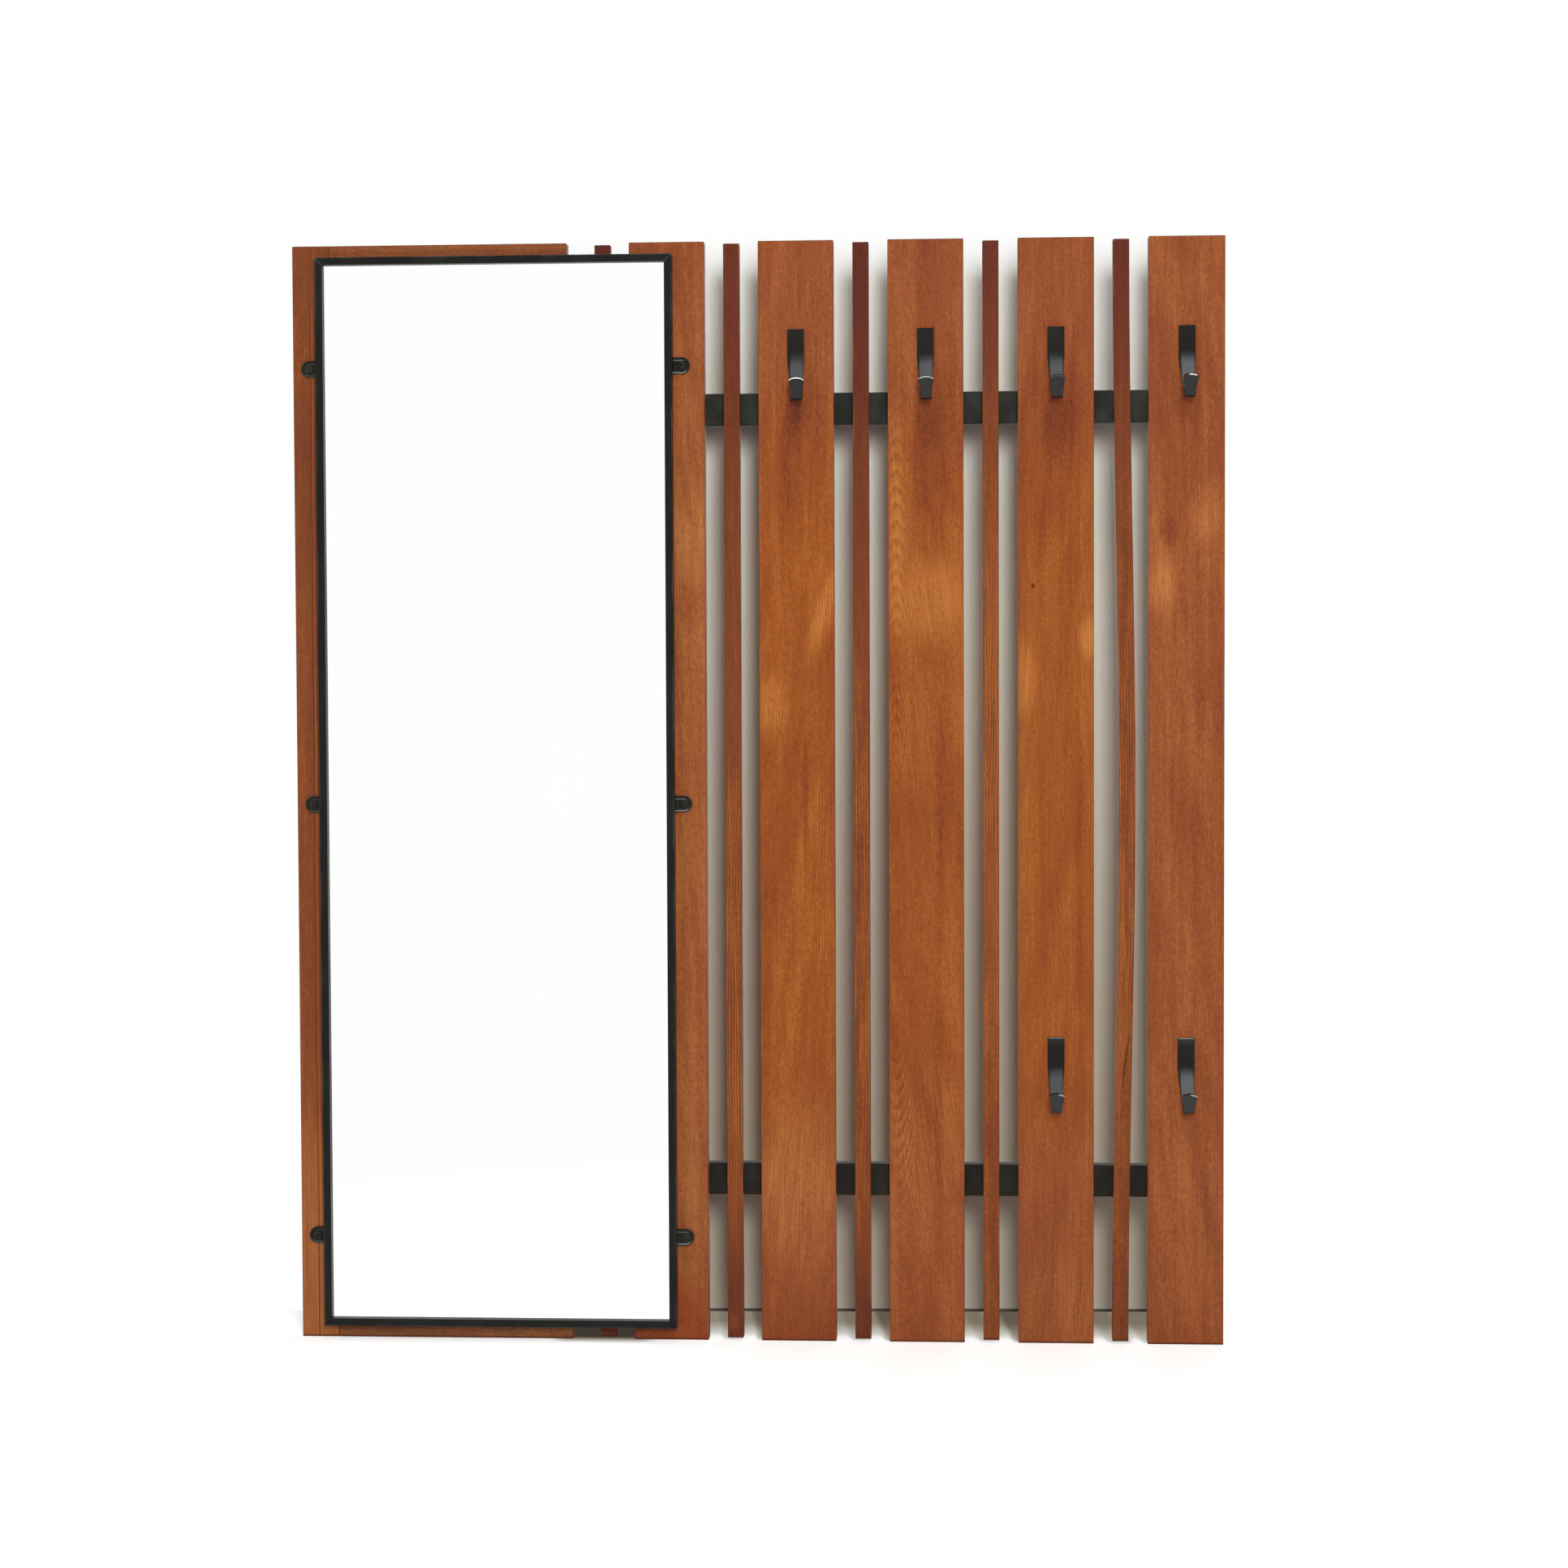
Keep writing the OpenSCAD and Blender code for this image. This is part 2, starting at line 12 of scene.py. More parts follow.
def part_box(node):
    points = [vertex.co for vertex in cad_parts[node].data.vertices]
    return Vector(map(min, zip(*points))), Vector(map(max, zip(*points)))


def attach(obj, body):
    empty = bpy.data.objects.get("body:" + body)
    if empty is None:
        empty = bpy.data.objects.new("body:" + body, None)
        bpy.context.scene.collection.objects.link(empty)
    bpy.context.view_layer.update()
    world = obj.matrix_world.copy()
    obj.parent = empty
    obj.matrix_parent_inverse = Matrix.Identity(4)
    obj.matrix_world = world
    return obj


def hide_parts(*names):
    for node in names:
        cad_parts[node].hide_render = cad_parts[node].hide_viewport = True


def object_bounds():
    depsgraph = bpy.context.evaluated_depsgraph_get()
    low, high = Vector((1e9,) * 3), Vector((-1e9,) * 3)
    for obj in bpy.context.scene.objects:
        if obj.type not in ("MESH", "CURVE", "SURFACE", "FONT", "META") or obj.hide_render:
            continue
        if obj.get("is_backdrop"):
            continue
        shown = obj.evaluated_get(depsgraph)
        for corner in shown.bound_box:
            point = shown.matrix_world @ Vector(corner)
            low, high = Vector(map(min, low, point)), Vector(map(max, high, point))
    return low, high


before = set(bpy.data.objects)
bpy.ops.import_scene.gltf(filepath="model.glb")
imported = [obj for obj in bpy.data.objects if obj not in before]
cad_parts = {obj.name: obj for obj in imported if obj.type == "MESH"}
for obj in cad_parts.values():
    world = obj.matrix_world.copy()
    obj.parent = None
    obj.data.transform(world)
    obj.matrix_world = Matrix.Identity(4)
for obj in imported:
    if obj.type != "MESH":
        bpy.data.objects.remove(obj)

bl_info = {
    "name": "Mirror Coat Rack",
    "version": (1, 0, 0),
    "blender": (4, 5, 0),
    "location": "View3D > Sidebar > Coat Rack",
    "description": "Dresses a wooden wall coat rack with a framed mirror and bent steel hooks",
    "category": "Object",
}

MM = 0.001
TURN = 2 * math.pi
QUARTER = math.pi / 2
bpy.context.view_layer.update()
BODY = "root"
BOARDS = ["board_%d" % n for n in range(1, 6)]
BATTENS = ["batten_%d" % n for n in range(1, 6)]
MIRROR_BARS = ["mirror_frame_" + side for side in ("top", "bottom", "left", "right")]


# ---------------------------------------------------------------- node trees

class Wire:
    """An output of a node tree; an expression on it adds Math nodes."""

    def __init__(self, graph, socket):
        self.graph = graph
        self.socket = socket

    def __add__(self, other):
        return self.graph.math("ADD", self, other)

    def __sub__(self, other):
        return self.graph.math("SUBTRACT", self, other)

    def __rsub__(self, other):
        return self.graph.math("SUBTRACT", other, self)

    def __mul__(self, other):
        return self.graph.math("MULTIPLY", self, other)

    def __abs__(self):
        return self.graph.math("ABSOLUTE", self)

    __radd__ = __add__
    __rmul__ = __mul__


class Graph:
    """A node tree to which one call adds one node."""

    def __init__(self, tree):
        self.tree = tree

    def node(self, kind, sockets=None, out=0, **settings):
        """Add a node with its settings first, then its sockets' values, wires or wire lists."""
        node = self.tree.nodes.new(kind)
        for key, value in settings.items():
            if key == "stops":
                lay_stops(node.color_ramp, value)
            else:
                setattr(node, key, value)
        for key, value in (sockets or {}).items():
            for item in value if isinstance(value, list) else [value]:
                if isinstance(item, Wire):
                    self.tree.links.new(item.socket, node.inputs[key])
                else:
                    node.inputs[key].default_value = item
        return Wire(self, node.outputs[out]) if len(node.outputs) else None

    def math(self, operation, *values):
        return self.node("ShaderNodeMath", dict(enumerate(values)), operation=operation)

    def most(self, first, second):
        return self.math("MAXIMUM", first, second)

    def least(self, first, second):
        return self.math("MINIMUM", first, second)

    def span(self, first, second):
        """The diagonal of a rectangle with these two sides."""
        return self.math("SQRT", first * first + second * second)

    def split(self, vector):
        first = self.node("ShaderNodeSeparateXYZ", {0: vector})
        return [Wire(self, socket) for socket in first.socket.node.outputs]

    def join(self, x, y, z):
        return self.node("ShaderNodeCombineXYZ", {0: x, 1: y, 2: z})

    def watched(self):
        """1 for the rays of the camera, of reflections and of glass, 0 for all others."""
        camera, glossy, glass = [self.node("ShaderNodeLightPath", out="Is %s Ray" % kind)
                                 for kind in ("Camera", "Glossy", "Transmission")]
        return self.most(self.most(camera, glossy), glass)


def lay_stops(ramp, stops):
    """Give a colour ramp its stops, as pairs of place and colour."""
    while len(ramp.elements) < len(stops):
        ramp.elements.new(1.0)
    for element, (place, colour) in zip(ramp.elements, stops):
        element.position = place
        element.color = (*colour, 1.0)


class Finish(Graph):
    """A procedural material on Object coordinates, counted from the middle of its piece."""

    def __init__(self, name, middle=(0.0, 0.0, 0.0), turn=(0.0, 0.0, 0.0)):
        self.material = bpy.data.materials.new(name)
        self.material.use_nodes = True
        super().__init__(self.material.node_tree)
        self.tree.nodes.clear()
        self.place = self.node("ShaderNodeMapping", {
            "Vector": self.node("ShaderNodeTexCoord", out="Object"),
            "Location": middle, "Rotation": turn}, vector_type="TEXTURE")
        self.x, self.y, self.z = self.split(self.place)

    def noise(self, stretch, seed=0.0, detail=2.0, roughness=0.5, place=None):
        """Noise from 0 to 1; stretch is how fine it is along each axis, or along all of them."""
        if not isinstance(stretch, tuple):
            stretch = (stretch, stretch, stretch)
        spot = self.node("ShaderNodeVectorMath", {
            0: place or self.place, 1: stretch, 2: (seed, 1.7 * seed, 2.3 * seed)},
            operation="MULTIPLY_ADD")
        return self.node("ShaderNodeTexNoise", {
            "Vector": spot, "Scale": 1.0, "Detail": detail, "Roughness": roughness},
            noise_dimensions="3D")

    def swing(self, *noise):
        """The same noise about 0."""
        return self.noise(*noise) - 0.5

    def rise(self, value, low, high):
        """0 below low and 1 above high, or the other way round where high is the smaller."""
        return self.node("ShaderNodeMapRange", {
            "Value": value, "From Min": low, "From Max": high, "To Min": 0.0, "To Max": 1.0},
            interpolation_type="SMOOTHSTEP")

    def between(self, value, start, full, last, end):
        """0 up to the start, 1 from full to last, and 0 again from the end on."""
        return self.rise(value, start, full) * self.rise(value, end, last)

    def blend(self, mask, first, second):
        first, second = [colour if isinstance(colour, Wire) else (*colour[:3], 1.0)
                         for colour in (first, second)]
        return self.node("ShaderNodeMix", {0: mask, 6: first, 7: second}, 2, data_type="RGBA")

    def ramp(self, value, places, colours):
        return self.node("ShaderNodeValToRGB", {"Fac": value}, stops=list(zip(places, colours)))

    def bump(self, height, distance, strength=1.0):
        return self.node("ShaderNodeBump", {
            "Height": height, "Distance": distance, "Strength": strength})

    def skin(self, **sockets):
        return self.close(self.node("ShaderNodeBsdfPrincipled", {
            key.replace("_", " "): value for key, value in sockets.items()}))

    def glow(self, colour):
        """A surface that shows exactly the colour, whatever light falls on it."""
        if not isinstance(colour, Wire):
            colour = (*colour, 1.0)
        return self.node("ShaderNodeEmission", {"Color": colour, "Strength": 1.0})

    def mixed(self, share, first, second):
        return self.node("ShaderNodeMixShader", {0: share, 1: first, 2: second})

    def close(self, shader):
        self.node("ShaderNodeOutputMaterial", {"Surface": shader})
        return self.material


class Growth(Graph):
    """A Geometry Nodes tree with named inputs, which ends as plain mesh in one finish."""

    def __init__(self, name, **inputs):
        tree = bpy.data.node_groups.new(name, "GeometryNodeTree")
        super().__init__(tree)
        for label, kind in (("Base", "Geometry"), *inputs.items(), ("Finish", "Material")):
            tree.interface.new_socket(name=label.replace("_", " "), in_out="INPUT",
                                      socket_type="NodeSocket" + kind)
        tree.interface.new_socket(name="Mesh", in_out="OUTPUT", socket_type="NodeSocketGeometry")
        self.entry = tree.nodes.new("NodeGroupInput")

    def take(self, label):
        return Wire(self, self.entry.outputs[label])

    def carried(self, name, kind):
        """What each point carries under the name."""
        return self.node("GeometryNodeInputNamedAttribute", {"Name": name}, data_type=kind)

    def mesh_of(self, label):
        """The mesh of the object that is given as an input."""
        return self.node("GeometryNodeObjectInfo", {"Object": self.take(label)}, "Geometry",
                         transform_space="ORIGINAL")

    def copies(self, points, template, **more):
        return self.node("GeometryNodeInstanceOnPoints", {
            "Points": points, "Instance": template, **more})

    def bar(self, start, end, depth, height, radius):
        """A rectangular bar with round edges from start to end."""
        outline = self.node("GeometryNodeCurvePrimitiveQuadrilateral", {
            "Width": depth, "Height": height}, mode="RECTANGLE")
        outline = self.node("GeometryNodeFilletCurve", {
            "Curve": outline, "Radius": radius, "Count": 5}, mode="POLY")
        line = self.node("GeometryNodeCurvePrimitiveLine", {"Start": start, "End": end})
        return self.node("GeometryNodeCurveToMesh", {
            "Curve": line, "Profile Curve": outline, "Fill Caps": True})

    def close(self, geometry):
        geometry = self.node("GeometryNodeSetShadeSmooth", {
            "Geometry": geometry, "Shade Smooth": True})
        geometry = self.node("GeometryNodeRealizeInstances", {"Geometry": geometry})
        geometry = self.node("GeometryNodeSetMaterial", {
            "Geometry": geometry, "Material": self.take("Finish")})
        self.node("NodeGroupOutput", {"Mesh": geometry})
        return self.tree


def slat_tree():
    """A length of wood of the given size about its middle, bowed where a bow is given."""
    tree = Growth("Slat", Size="Vector", Middle="Vector", Bow="Float", Steps="Int")
    slat = tree.node("GeometryNodeMeshCube", {
        "Size": tree.take("Size"), "Vertices X": 2, "Vertices Y": 2,
        "Vertices Z": tree.take("Steps")})
    length = tree.split(tree.take("Size"))[2]
    height = tree.split(tree.node("GeometryNodeInputPosition"))[2]
    swing = tree.math("COSINE", (tree.math("DIVIDE", height, length) + 0.5) * TURN)
    aside = (1.0 - swing) * 0.5 * tree.take("Bow")
    slat = tree.node("GeometryNodeSetPosition", {
        "Geometry": slat, "Offset": tree.join(aside, 0.0, 0.0)})
    return tree.close(tree.node("GeometryNodeTransform", {
        "Geometry": slat, "Translation": tree.take("Middle")}))


def scatter_tree():
    """One copy of a template on each point, turned by the point's own angles."""
    tree = Growth("Scatter", Template="Object")
    template = tree.mesh_of("Template")
    turned_by = tree.node("FunctionNodeEulerToRotation", {
        "Euler": tree.carried("turn", "FLOAT_VECTOR")})
    return tree.close(tree.copies(tree.take("Base"), template, Rotation=turned_by))


def tube_tree():
    """A hollow rectangular tube along X, drilled at points and cut by keyholes."""
    tree = Growth("Drilled tube", Start="Vector", End="Vector", Depth="Float", Height="Float",
                  Wall="Float", Corner="Float", Reach="Float", Keyhole="Object",
                  Keyhole_Places="Object")
    start, end, depth, height, wall, corner = map(
        tree.take, ("Start", "End", "Depth", "Height", "Wall", "Corner"))
    shell = tree.bar(start, end, depth, height, corner)
    # the bore runs a little past both ends
    past = tree.node("ShaderNodeVectorMath", {0: end, 1: start}, operation="SUBTRACT")
    past = tree.node("ShaderNodeVectorMath", {0: past, "Scale": 0.01}, operation="SCALE")
    start = tree.node("ShaderNodeVectorMath", {0: start, 1: past}, operation="SUBTRACT")
    end = tree.node("ShaderNodeVectorMath", {0: end, 1: past}, operation="ADD")
    bore = tree.bar(start, end, depth - wall * 2.0, height - wall * 2.0, corner * 0.4)
    radius = tree.carried("radius", "FLOAT")
    drill = tree.node("GeometryNodeMeshCylinder", {"Vertices": 32, "Radius": 1.0, "Depth": 1.0})
    drills = tree.copies(tree.take("Base"), drill, Rotation=(QUARTER, 0.0, 0.0),
                         Scale=tree.join(radius, radius, tree.take("Reach")))
    keyholes = tree.copies(tree.mesh_of("Keyhole Places"), tree.mesh_of("Keyhole"))
    cutters = tree.node("GeometryNodeJoinGeometry", {0: [bore, drills, keyholes]})
    cutters = tree.node("GeometryNodeRealizeInstances", {"Geometry": cutters})
    return tree.close(tree.node("GeometryNodeMeshBoolean", {
        "Mesh 1": shell, "Mesh 2": cutters}, operation="DIFFERENCE", solver="EXACT"))


# ---------------------------------------------------------------- mesh helpers

def shown(name, mesh):
    """An object at the origin that shows the mesh."""
    obj = bpy.data.objects.new(name, mesh)
    bpy.context.scene.collection.objects.link(obj)
    return obj


def shown_bmesh(name, bm):
    bmesh.ops.remove_doubles(bm, verts=bm.verts, dist=1e-7)
    bmesh.ops.recalc_face_normals(bm, faces=bm.faces)
    for face in bm.faces:
        face.smooth = True
    mesh = bpy.data.meshes.new(name)
    bm.to_mesh(mesh)
    bm.free()
    return shown(name, mesh)


def plain(obj):
    """Turn an object with modifiers into plain mesh."""
    graph = bpy.context.evaluated_depsgraph_get()
    mesh = bpy.data.meshes.new_from_object(obj.evaluated_get(graph), depsgraph=graph)
    old = obj.data
    obj.modifiers.clear()
    obj.data = mesh
    bpy.data.meshes.remove(old)
    mesh.name = obj.name
    return obj


def grown(obj, tree, **inputs):
    """Run a Geometry Nodes tree on the object; its inputs are set by their identifiers."""
    modifier = obj.modifiers.new(tree.name, "NODES")
    modifier.node_group = tree
    for item in tree.interface.items_tree:
        key = item.name.replace(" ", "_")
        if item.in_out == "INPUT" and key in inputs:
            modifier[item.identifier] = inputs[key]
    return obj


def softened(obj, width, segments=3, angle=35.0):
    """Round the sharp edges, keep large faces flat in shading, and end as plain mesh."""
    bevel = obj.modifiers.new("Soft edges", "BEVEL")
    bevel.width = width
    bevel.segments = segments
    bevel.limit_method = "ANGLE"
    bevel.angle_limit = math.radians(angle)
    even = obj.modifiers.new("Even shading", "WEIGHTED_NORMAL")
    even.mode = "FACE_AREA"
    even.weight = 100
    return plain(obj)


def evened(obj, angle=30.0):
    """Keep flat faces flat in shading, and edges past the angle sharp."""
    obj.data.set_sharp_from_angle(angle=math.radians(angle))
    even = obj.modifiers.new("Even shading", "WEIGHTED_NORMAL")
    even.keep_sharp = True
    return plain(obj)


def thrown_away(*objects):
    for obj in objects:
        mesh = obj.data
        bpy.data.objects.remove(obj)
        bpy.data.meshes.remove(mesh)


def finished(obj, slot, node, material=None):
    """Hand a finished piece over in place of its CAD node."""
    if material is not None:
        obj.data.materials.clear()
        obj.data.materials.append(material)
    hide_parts(node)
    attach(obj, BODY)


def cad_mesh(node):
    """A copy of a CAD node's triangles with their corners joined."""
    bm = bmesh.new()
    bm.from_mesh(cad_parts[node].data)
    bmesh.ops.remove_doubles(bm, verts=bm.verts, dist=2e-6)
    return bm


def rounded(name, node, edge, segments, slot, finish):
    """A CAD node's own shape with its edges rounded."""
    bm = cad_mesh(node)
    bmesh.ops.dissolve_limit(bm, angle_limit=math.radians(0.5), verts=bm.verts, edges=bm.edges)
    finished(softened(shown_bmesh(name, bm), edge, segments), slot, node, finish)


def solids(node):
    """The middles and the sizes of a CAD node's separate solids, in a steady order."""
    bm = cad_mesh(node)
    left = set(bm.verts)
    found = []
    while left:
        heap = [left.pop()]
        corners = []
        while heap:
            vert = heap.pop()
            corners.append(vert.co.copy())
            for edge in vert.link_edges:
                other = edge.other_vert(vert)
                if other in left:
                    left.remove(other)
                    heap.append(other)
        low, high = [Vector([end(corner[k] for corner in corners) for k in range(3)])
                     for end in (min, max)]
        found.append(((low + high) / 2, high - low))
    bm.free()
    found.sort(key=lambda pair: tuple(round(v, 5) for v in pair[0]))
    return [middle for middle, _ in found], [size for _, size in found]


def middle_of(*nodes):
    boxes = [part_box(node) for node in nodes]
    return Vector([(min(box[0][k] for box in boxes) + max(box[1][k] for box in boxes)) / 2
                   for k in range(3)])


def points(name, places, **carried):
    """Loose points, each with the number or the angles that it carries under a name."""
    mesh = bpy.data.meshes.new(name)
    mesh.from_pydata([tuple(place) for place in places], [], [])
    for label, values in carried.items():
        kind, field = (("FLOAT_VECTOR", "vector") if isinstance(values[0], tuple)
                       else ("FLOAT", "value"))
        stored = mesh.attributes.new(label, kind, "POINT")
        for item, value in zip(stored.data, values):
            setattr(item, field, value)
    return shown(name, mesh)


def scattered(node, template, places, turns, finish, slot):
    """Copies of a template in place of the solids of a CAD node."""
    obj = copied("set_of_" + node, template, places, turns, finish)
    finished(obj, slot, node)


def copied(name, template, places, turns, finish=None):
    """One object with a copy of the template at each place; the template goes."""
    obj = points(name, places, turn=turns)
    tree = bpy.data.node_groups.get("Scatter") or scatter_tree()
    evened(plain(grown(obj, tree, Template=template, Finish=finish)))
    thrown_away(template)
    return obj


def turned(profile, steps, shape=None, ring=False):
    """A closed solid turned about Z from (radius, height) pairs, lowest first.

    A pair of radius 0 is a pole. shape(radius, height, angle) may change the radius and the
    height of a point. A ring's profile is closed and has no pole."""
    bm = bmesh.new()
    rows = []
    for radius, height in profile:
        row = []
        for k in range(1 if radius == 0.0 else steps):
            angle = TURN * k / steps
            r, z = shape(radius, height, angle) if shape and radius else (radius, height)
            row.append(bm.verts.new((r * math.cos(angle), r * math.sin(angle), z)))
        rows.append(row)
    pairs = list(zip(rows, rows[1:]))
    if ring:
        pairs.append((rows[-1], rows[0]))
    for lower, upper in pairs:
        for k in range(steps):
            after = (k + 1) % steps
            corners = dict.fromkeys([lower[k % len(lower)], lower[after % len(lower)],
                                     upper[after % len(upper)], upper[k % len(upper)]])
            if len(corners) > 2:
                bm.faces.new(list(corners))
    return bm


def threaded(pitch, depth, low, high):
    """A shape for turned() that winds a screw thread round the part from low to high."""
    def shape(radius, height, angle):
        if low < height < high:
            wave = (height / pitch - angle / TURN) % 1.0
            radius -= depth * abs(2 * wave - 1)
        return radius, height
    return shape


# ---------------------------------------------------------------- finishes

DEEP_OIL = (0.080, 0.019, 0.008)
DARK_OIL = (0.200, 0.043, 0.0100)
PALE_OIL = (0.480, 0.168, 0.034)
RED_END = (0.215, 0.042, 0.012)
BARE_EDGE = (0.42, 0.16, 0.055)
# the oil colours of the painted sheen, duller and bluer, standing in for a pale reflection of
# light
SHEEN_OIL = ((0.085, 0.021, 0.010), (0.185, 0.041, 0.0145), (0.268, 0.071, 0.0215),
            (0.460, 0.165, 0.048))
# where the four colours of a wood lie on its tone, and how bright its soaked ends are there
TONES = (0.0, 0.25, 0.52, 0.95)
SOAKED = (0.30, 0.66, 1.0, 1.7)


class Grain(NamedTuple):
    """How one piece of wood looks; its lengths are in millimetres.

    Patches are lighter or darker spots: (aside, up, half width, half height, strength) from
    the middle of the piece, and a sixth number where a spot leans to the right as it rises;
    growth lines show most in light ones. The small dark patches just below the hooks are
    painted shadows of the hooks, and the wide dark ones high on boards 2 to 5 are painted shade.
    Ends are how dark and red the wood turns towards its lower and its upper end, and how far
    from there. Dull is how much of a painted sheen, in duller and bluer oil colours, lies low
    down, in the middle and high up. Lean is how far its flames lean aside as they rise, and
    ring is the width of a growth ring. Calm is the strength of flames and mottle, and crack the
    place of one fine dark line: aside from the middle, and the height where it ends. Tint
    multiplies the colours of its fresh oil; the lower rail's bluer tint is painted cool shade
    under the mirror's frame."""

    seed: float
    tone: float = 0.0
    pith: tuple = (70.0, 20.0)
    slope: float = 0.02
    lines: float = 0.05
    patches: tuple = ()
    ends: tuple = ((0.5, 110.0), (0.35, 90.0))
    edge: float = 0.3
    lean: float = 0.06
    ring: float = 2.3
    dull: tuple = (0.0, 0.0, 0.0)
    calm: float = 1.0
    crack: tuple = ()
    tint: tuple = (1.0, 1.0, 1.0)


def tinted(colour, by):
    """A colour times a number, or times another colour."""
    return [c * share for c, share in zip(colour, by if isinstance(by, tuple) else (by,) * 3)]


def patched(f, grain, ragged):
    """The strength of all the patches of a piece, and where its light ones are."""
    spots, light = 0.0, 0.0
    for aside, up, wide, tall, strength, *slant in grain.patches:
        dx, dz = f.x - aside * MM, f.z - up * MM
        if slant:
            dx = dx - dz * slant[0]
        away = f.span(dx * (1 / (wide * MM)), dz * (1 / (tall * MM))) + ragged
        spot = f.rise(away, 1.35, 0.35)
        spots = spots + spot * strength
        if strength > 0:
            light = light + spot
    return spots, light


def oiled_wood(node, grain, base, dark=DARK_OIL, end_colour=RED_END, level=False):
    """Oiled hardwood with upright or level grain, its growth rings, fibres and patches."""
    low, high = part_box(node)
    half = (high - low) / 2
    if level:
        half = Vector((half.z, half.y, half.x))
    f = Finish("Oiled " + node, (low + high) / 2, (0.0, QUARTER if level else 0.0, 0.0))
    seed = grain.seed

    # growth rings about a pith that leans along the piece, with a slow drift
    drift = f.swing((3.0, 3.0, 2.4), seed, 1.0) * 0.016
    waver = f.swing((30.0, 30.0, 20.0), seed + 3.0, 1.0) * 0.0018
    across = f.x + drift + waver - grain.pith[0] * MM
    behind = f.y + f.z * grain.slope + (grain.pith[1] * MM + half.y)
    rings = f.span(across, behind) * (1 / (grain.ring * MM))
    phase = f.math("FRACT", rings + f.noise((30.0, 30.0, 9.0), seed + 9.0) * 1.2)
    late = f.between(phase, 0.2, 0.85, 0.90, 1.0)

    # soft flames and streaks, upright columns, hair-fine fibres, pores and a fine mottle
    bent = f.join(f.x + drift * 0.6 + waver, f.y, f.z)
    leaning = f.join(f.x + f.z * grain.lean, f.y,
                     f.z + f.swing((16.0, 16.0, 3.0), seed + 8.0, 1.0) * 0.12)
    flame = f.swing((34.0, 34.0, 5.5), seed + 1.0, 2.0, 0.5, leaning)
    streak = f.swing((80.0, 80.0, 18.0), seed + 10.0, 2.0, 0.55, leaning)
    column = f.swing((130.0, 130.0, 1.5), seed + 2.0, 2.0, 0.55, bent)
    fibre = f.swing((620.0, 620.0, 26.0), seed + 4.0, 3.0, 0.6, bent)
    mottle = f.swing((420.0, 420.0, 260.0), seed + 5.0, 3.0, 0.65)
    pores = f.rise(f.noise((1400.0, 1400.0, 90.0), seed + 6.0, 1.0, 0.5, bent), 0.64, 0.75)

    spots, light = patched(f, grain, mottle * 0.5 + (column + flame) * 1.2)
    tone = ((flame * 0.50 + mottle * 0.60 + streak * 0.28) * grain.calm + column * 0.26
            + fibre * 0.34 + (0.52 + grain.tone + grain.lines * 0.4))
    tone = tone + spots - late * (grain.lines + light * 0.16)
    if isinstance(light, Wire):
        thread = f.swing((480.0, 480.0, 9.0), seed + 11.0, 2.0, 0.55, leaning)
        tone = tone + light * (thread * 0.42)
    fresh = [tinted(shade, grain.tint) for shade in (DEEP_OIL, dark, base, PALE_OIL)]
    colour = f.ramp(tone, TONES, fresh)
    # painted sheen: duller, bluer oil colours low down and high up, as much as dull gives
    if any(grain.dull):
        foot, waist, top = grain.dull
        sheen_and_wear = (f.rise(f.z, -0.20, -0.42) * (foot - waist)
                + f.rise(f.z, 0.24, 0.44) * (top - waist) + waist)
        colour = f.blend(sheen_and_wear, colour, f.ramp(tone, TONES, SHEEN_OIL))
    colour = f.blend(pores * 0.30, colour, DEEP_OIL)
    # a fine dark line with a light edge beside it
    if grain.crack:
        aside, top = grain.crack
        off = f.x - aside * MM + f.swing((3.0, 3.0, 4.0), seed + 12.0, 1.0) * (1.6 * MM)
        along = f.rise(f.z, (top + 20) * MM, (top - 20) * MM)
        lit = f.rise(abs(off - 1.2 * MM), 1.1 * MM, 0.3 * MM)
        colour = f.blend(lit * along * 0.28, colour, PALE_OIL)
        split = f.rise(abs(off), 0.8 * MM, 0.3 * MM)
        colour = f.blend(split * along * 0.75, colour, DEEP_OIL)

    # darker, redder ends where the oil soaked in
    soaked = f.ramp(tone, TONES, [tinted(end_colour, share) for share in SOAKED])
    for side, (strength, reach) in zip((-1.0, 1.0), grain.ends):
        past = f.rise(f.z * side + mottle * 0.04 + flame * 0.16, half.z - reach * MM, half.z)
        colour = f.blend(past * strength, colour, soaked)

    # lighter rubs beside the rounded edges; the dark rounded edges and the dark line at the foot
    # are painted shade
    deep = [size - abs(place) for size, place in zip(half, (f.x, f.y, f.z))]
    edge = f.most(f.least(deep[0], deep[2]), f.least(f.most(deep[0], deep[2]), deep[1]))
    rubs_and_highlights = f.rise(edge + column * (3.0 * MM), 1.8 * MM, 0.4 * MM)
    rubs_and_highlights = rubs_and_highlights * f.rise(f.noise((90.0, 90.0, 28.0), seed + 7.0), 0.45, 0.70)
    colour = f.blend(rubs_and_highlights * grain.edge, colour, BARE_EDGE)
    colour = f.blend(f.rise(edge, 1.0 * MM, 0.3 * MM) * 0.45, colour, DEEP_OIL)
    above_foot = (half.x - f.x) if level else (f.z + half.z)
    colour = f.blend(f.rise(above_foot, 2.5 * MM, 1.4 * MM) * 0.8, colour, DEEP_OIL)

    height = fibre * 0.5 + mottle * 0.25 - late * 0.25 - pores * 0.5
    return f.skin(Base_Color=colour, Roughness=0.54 + fibre * 0.30 + pores * 0.15,
                  Normal=f.bump(height, 0.15 * MM, 0.5), Specular_IOR_Level=0.20, IOR=1.45)


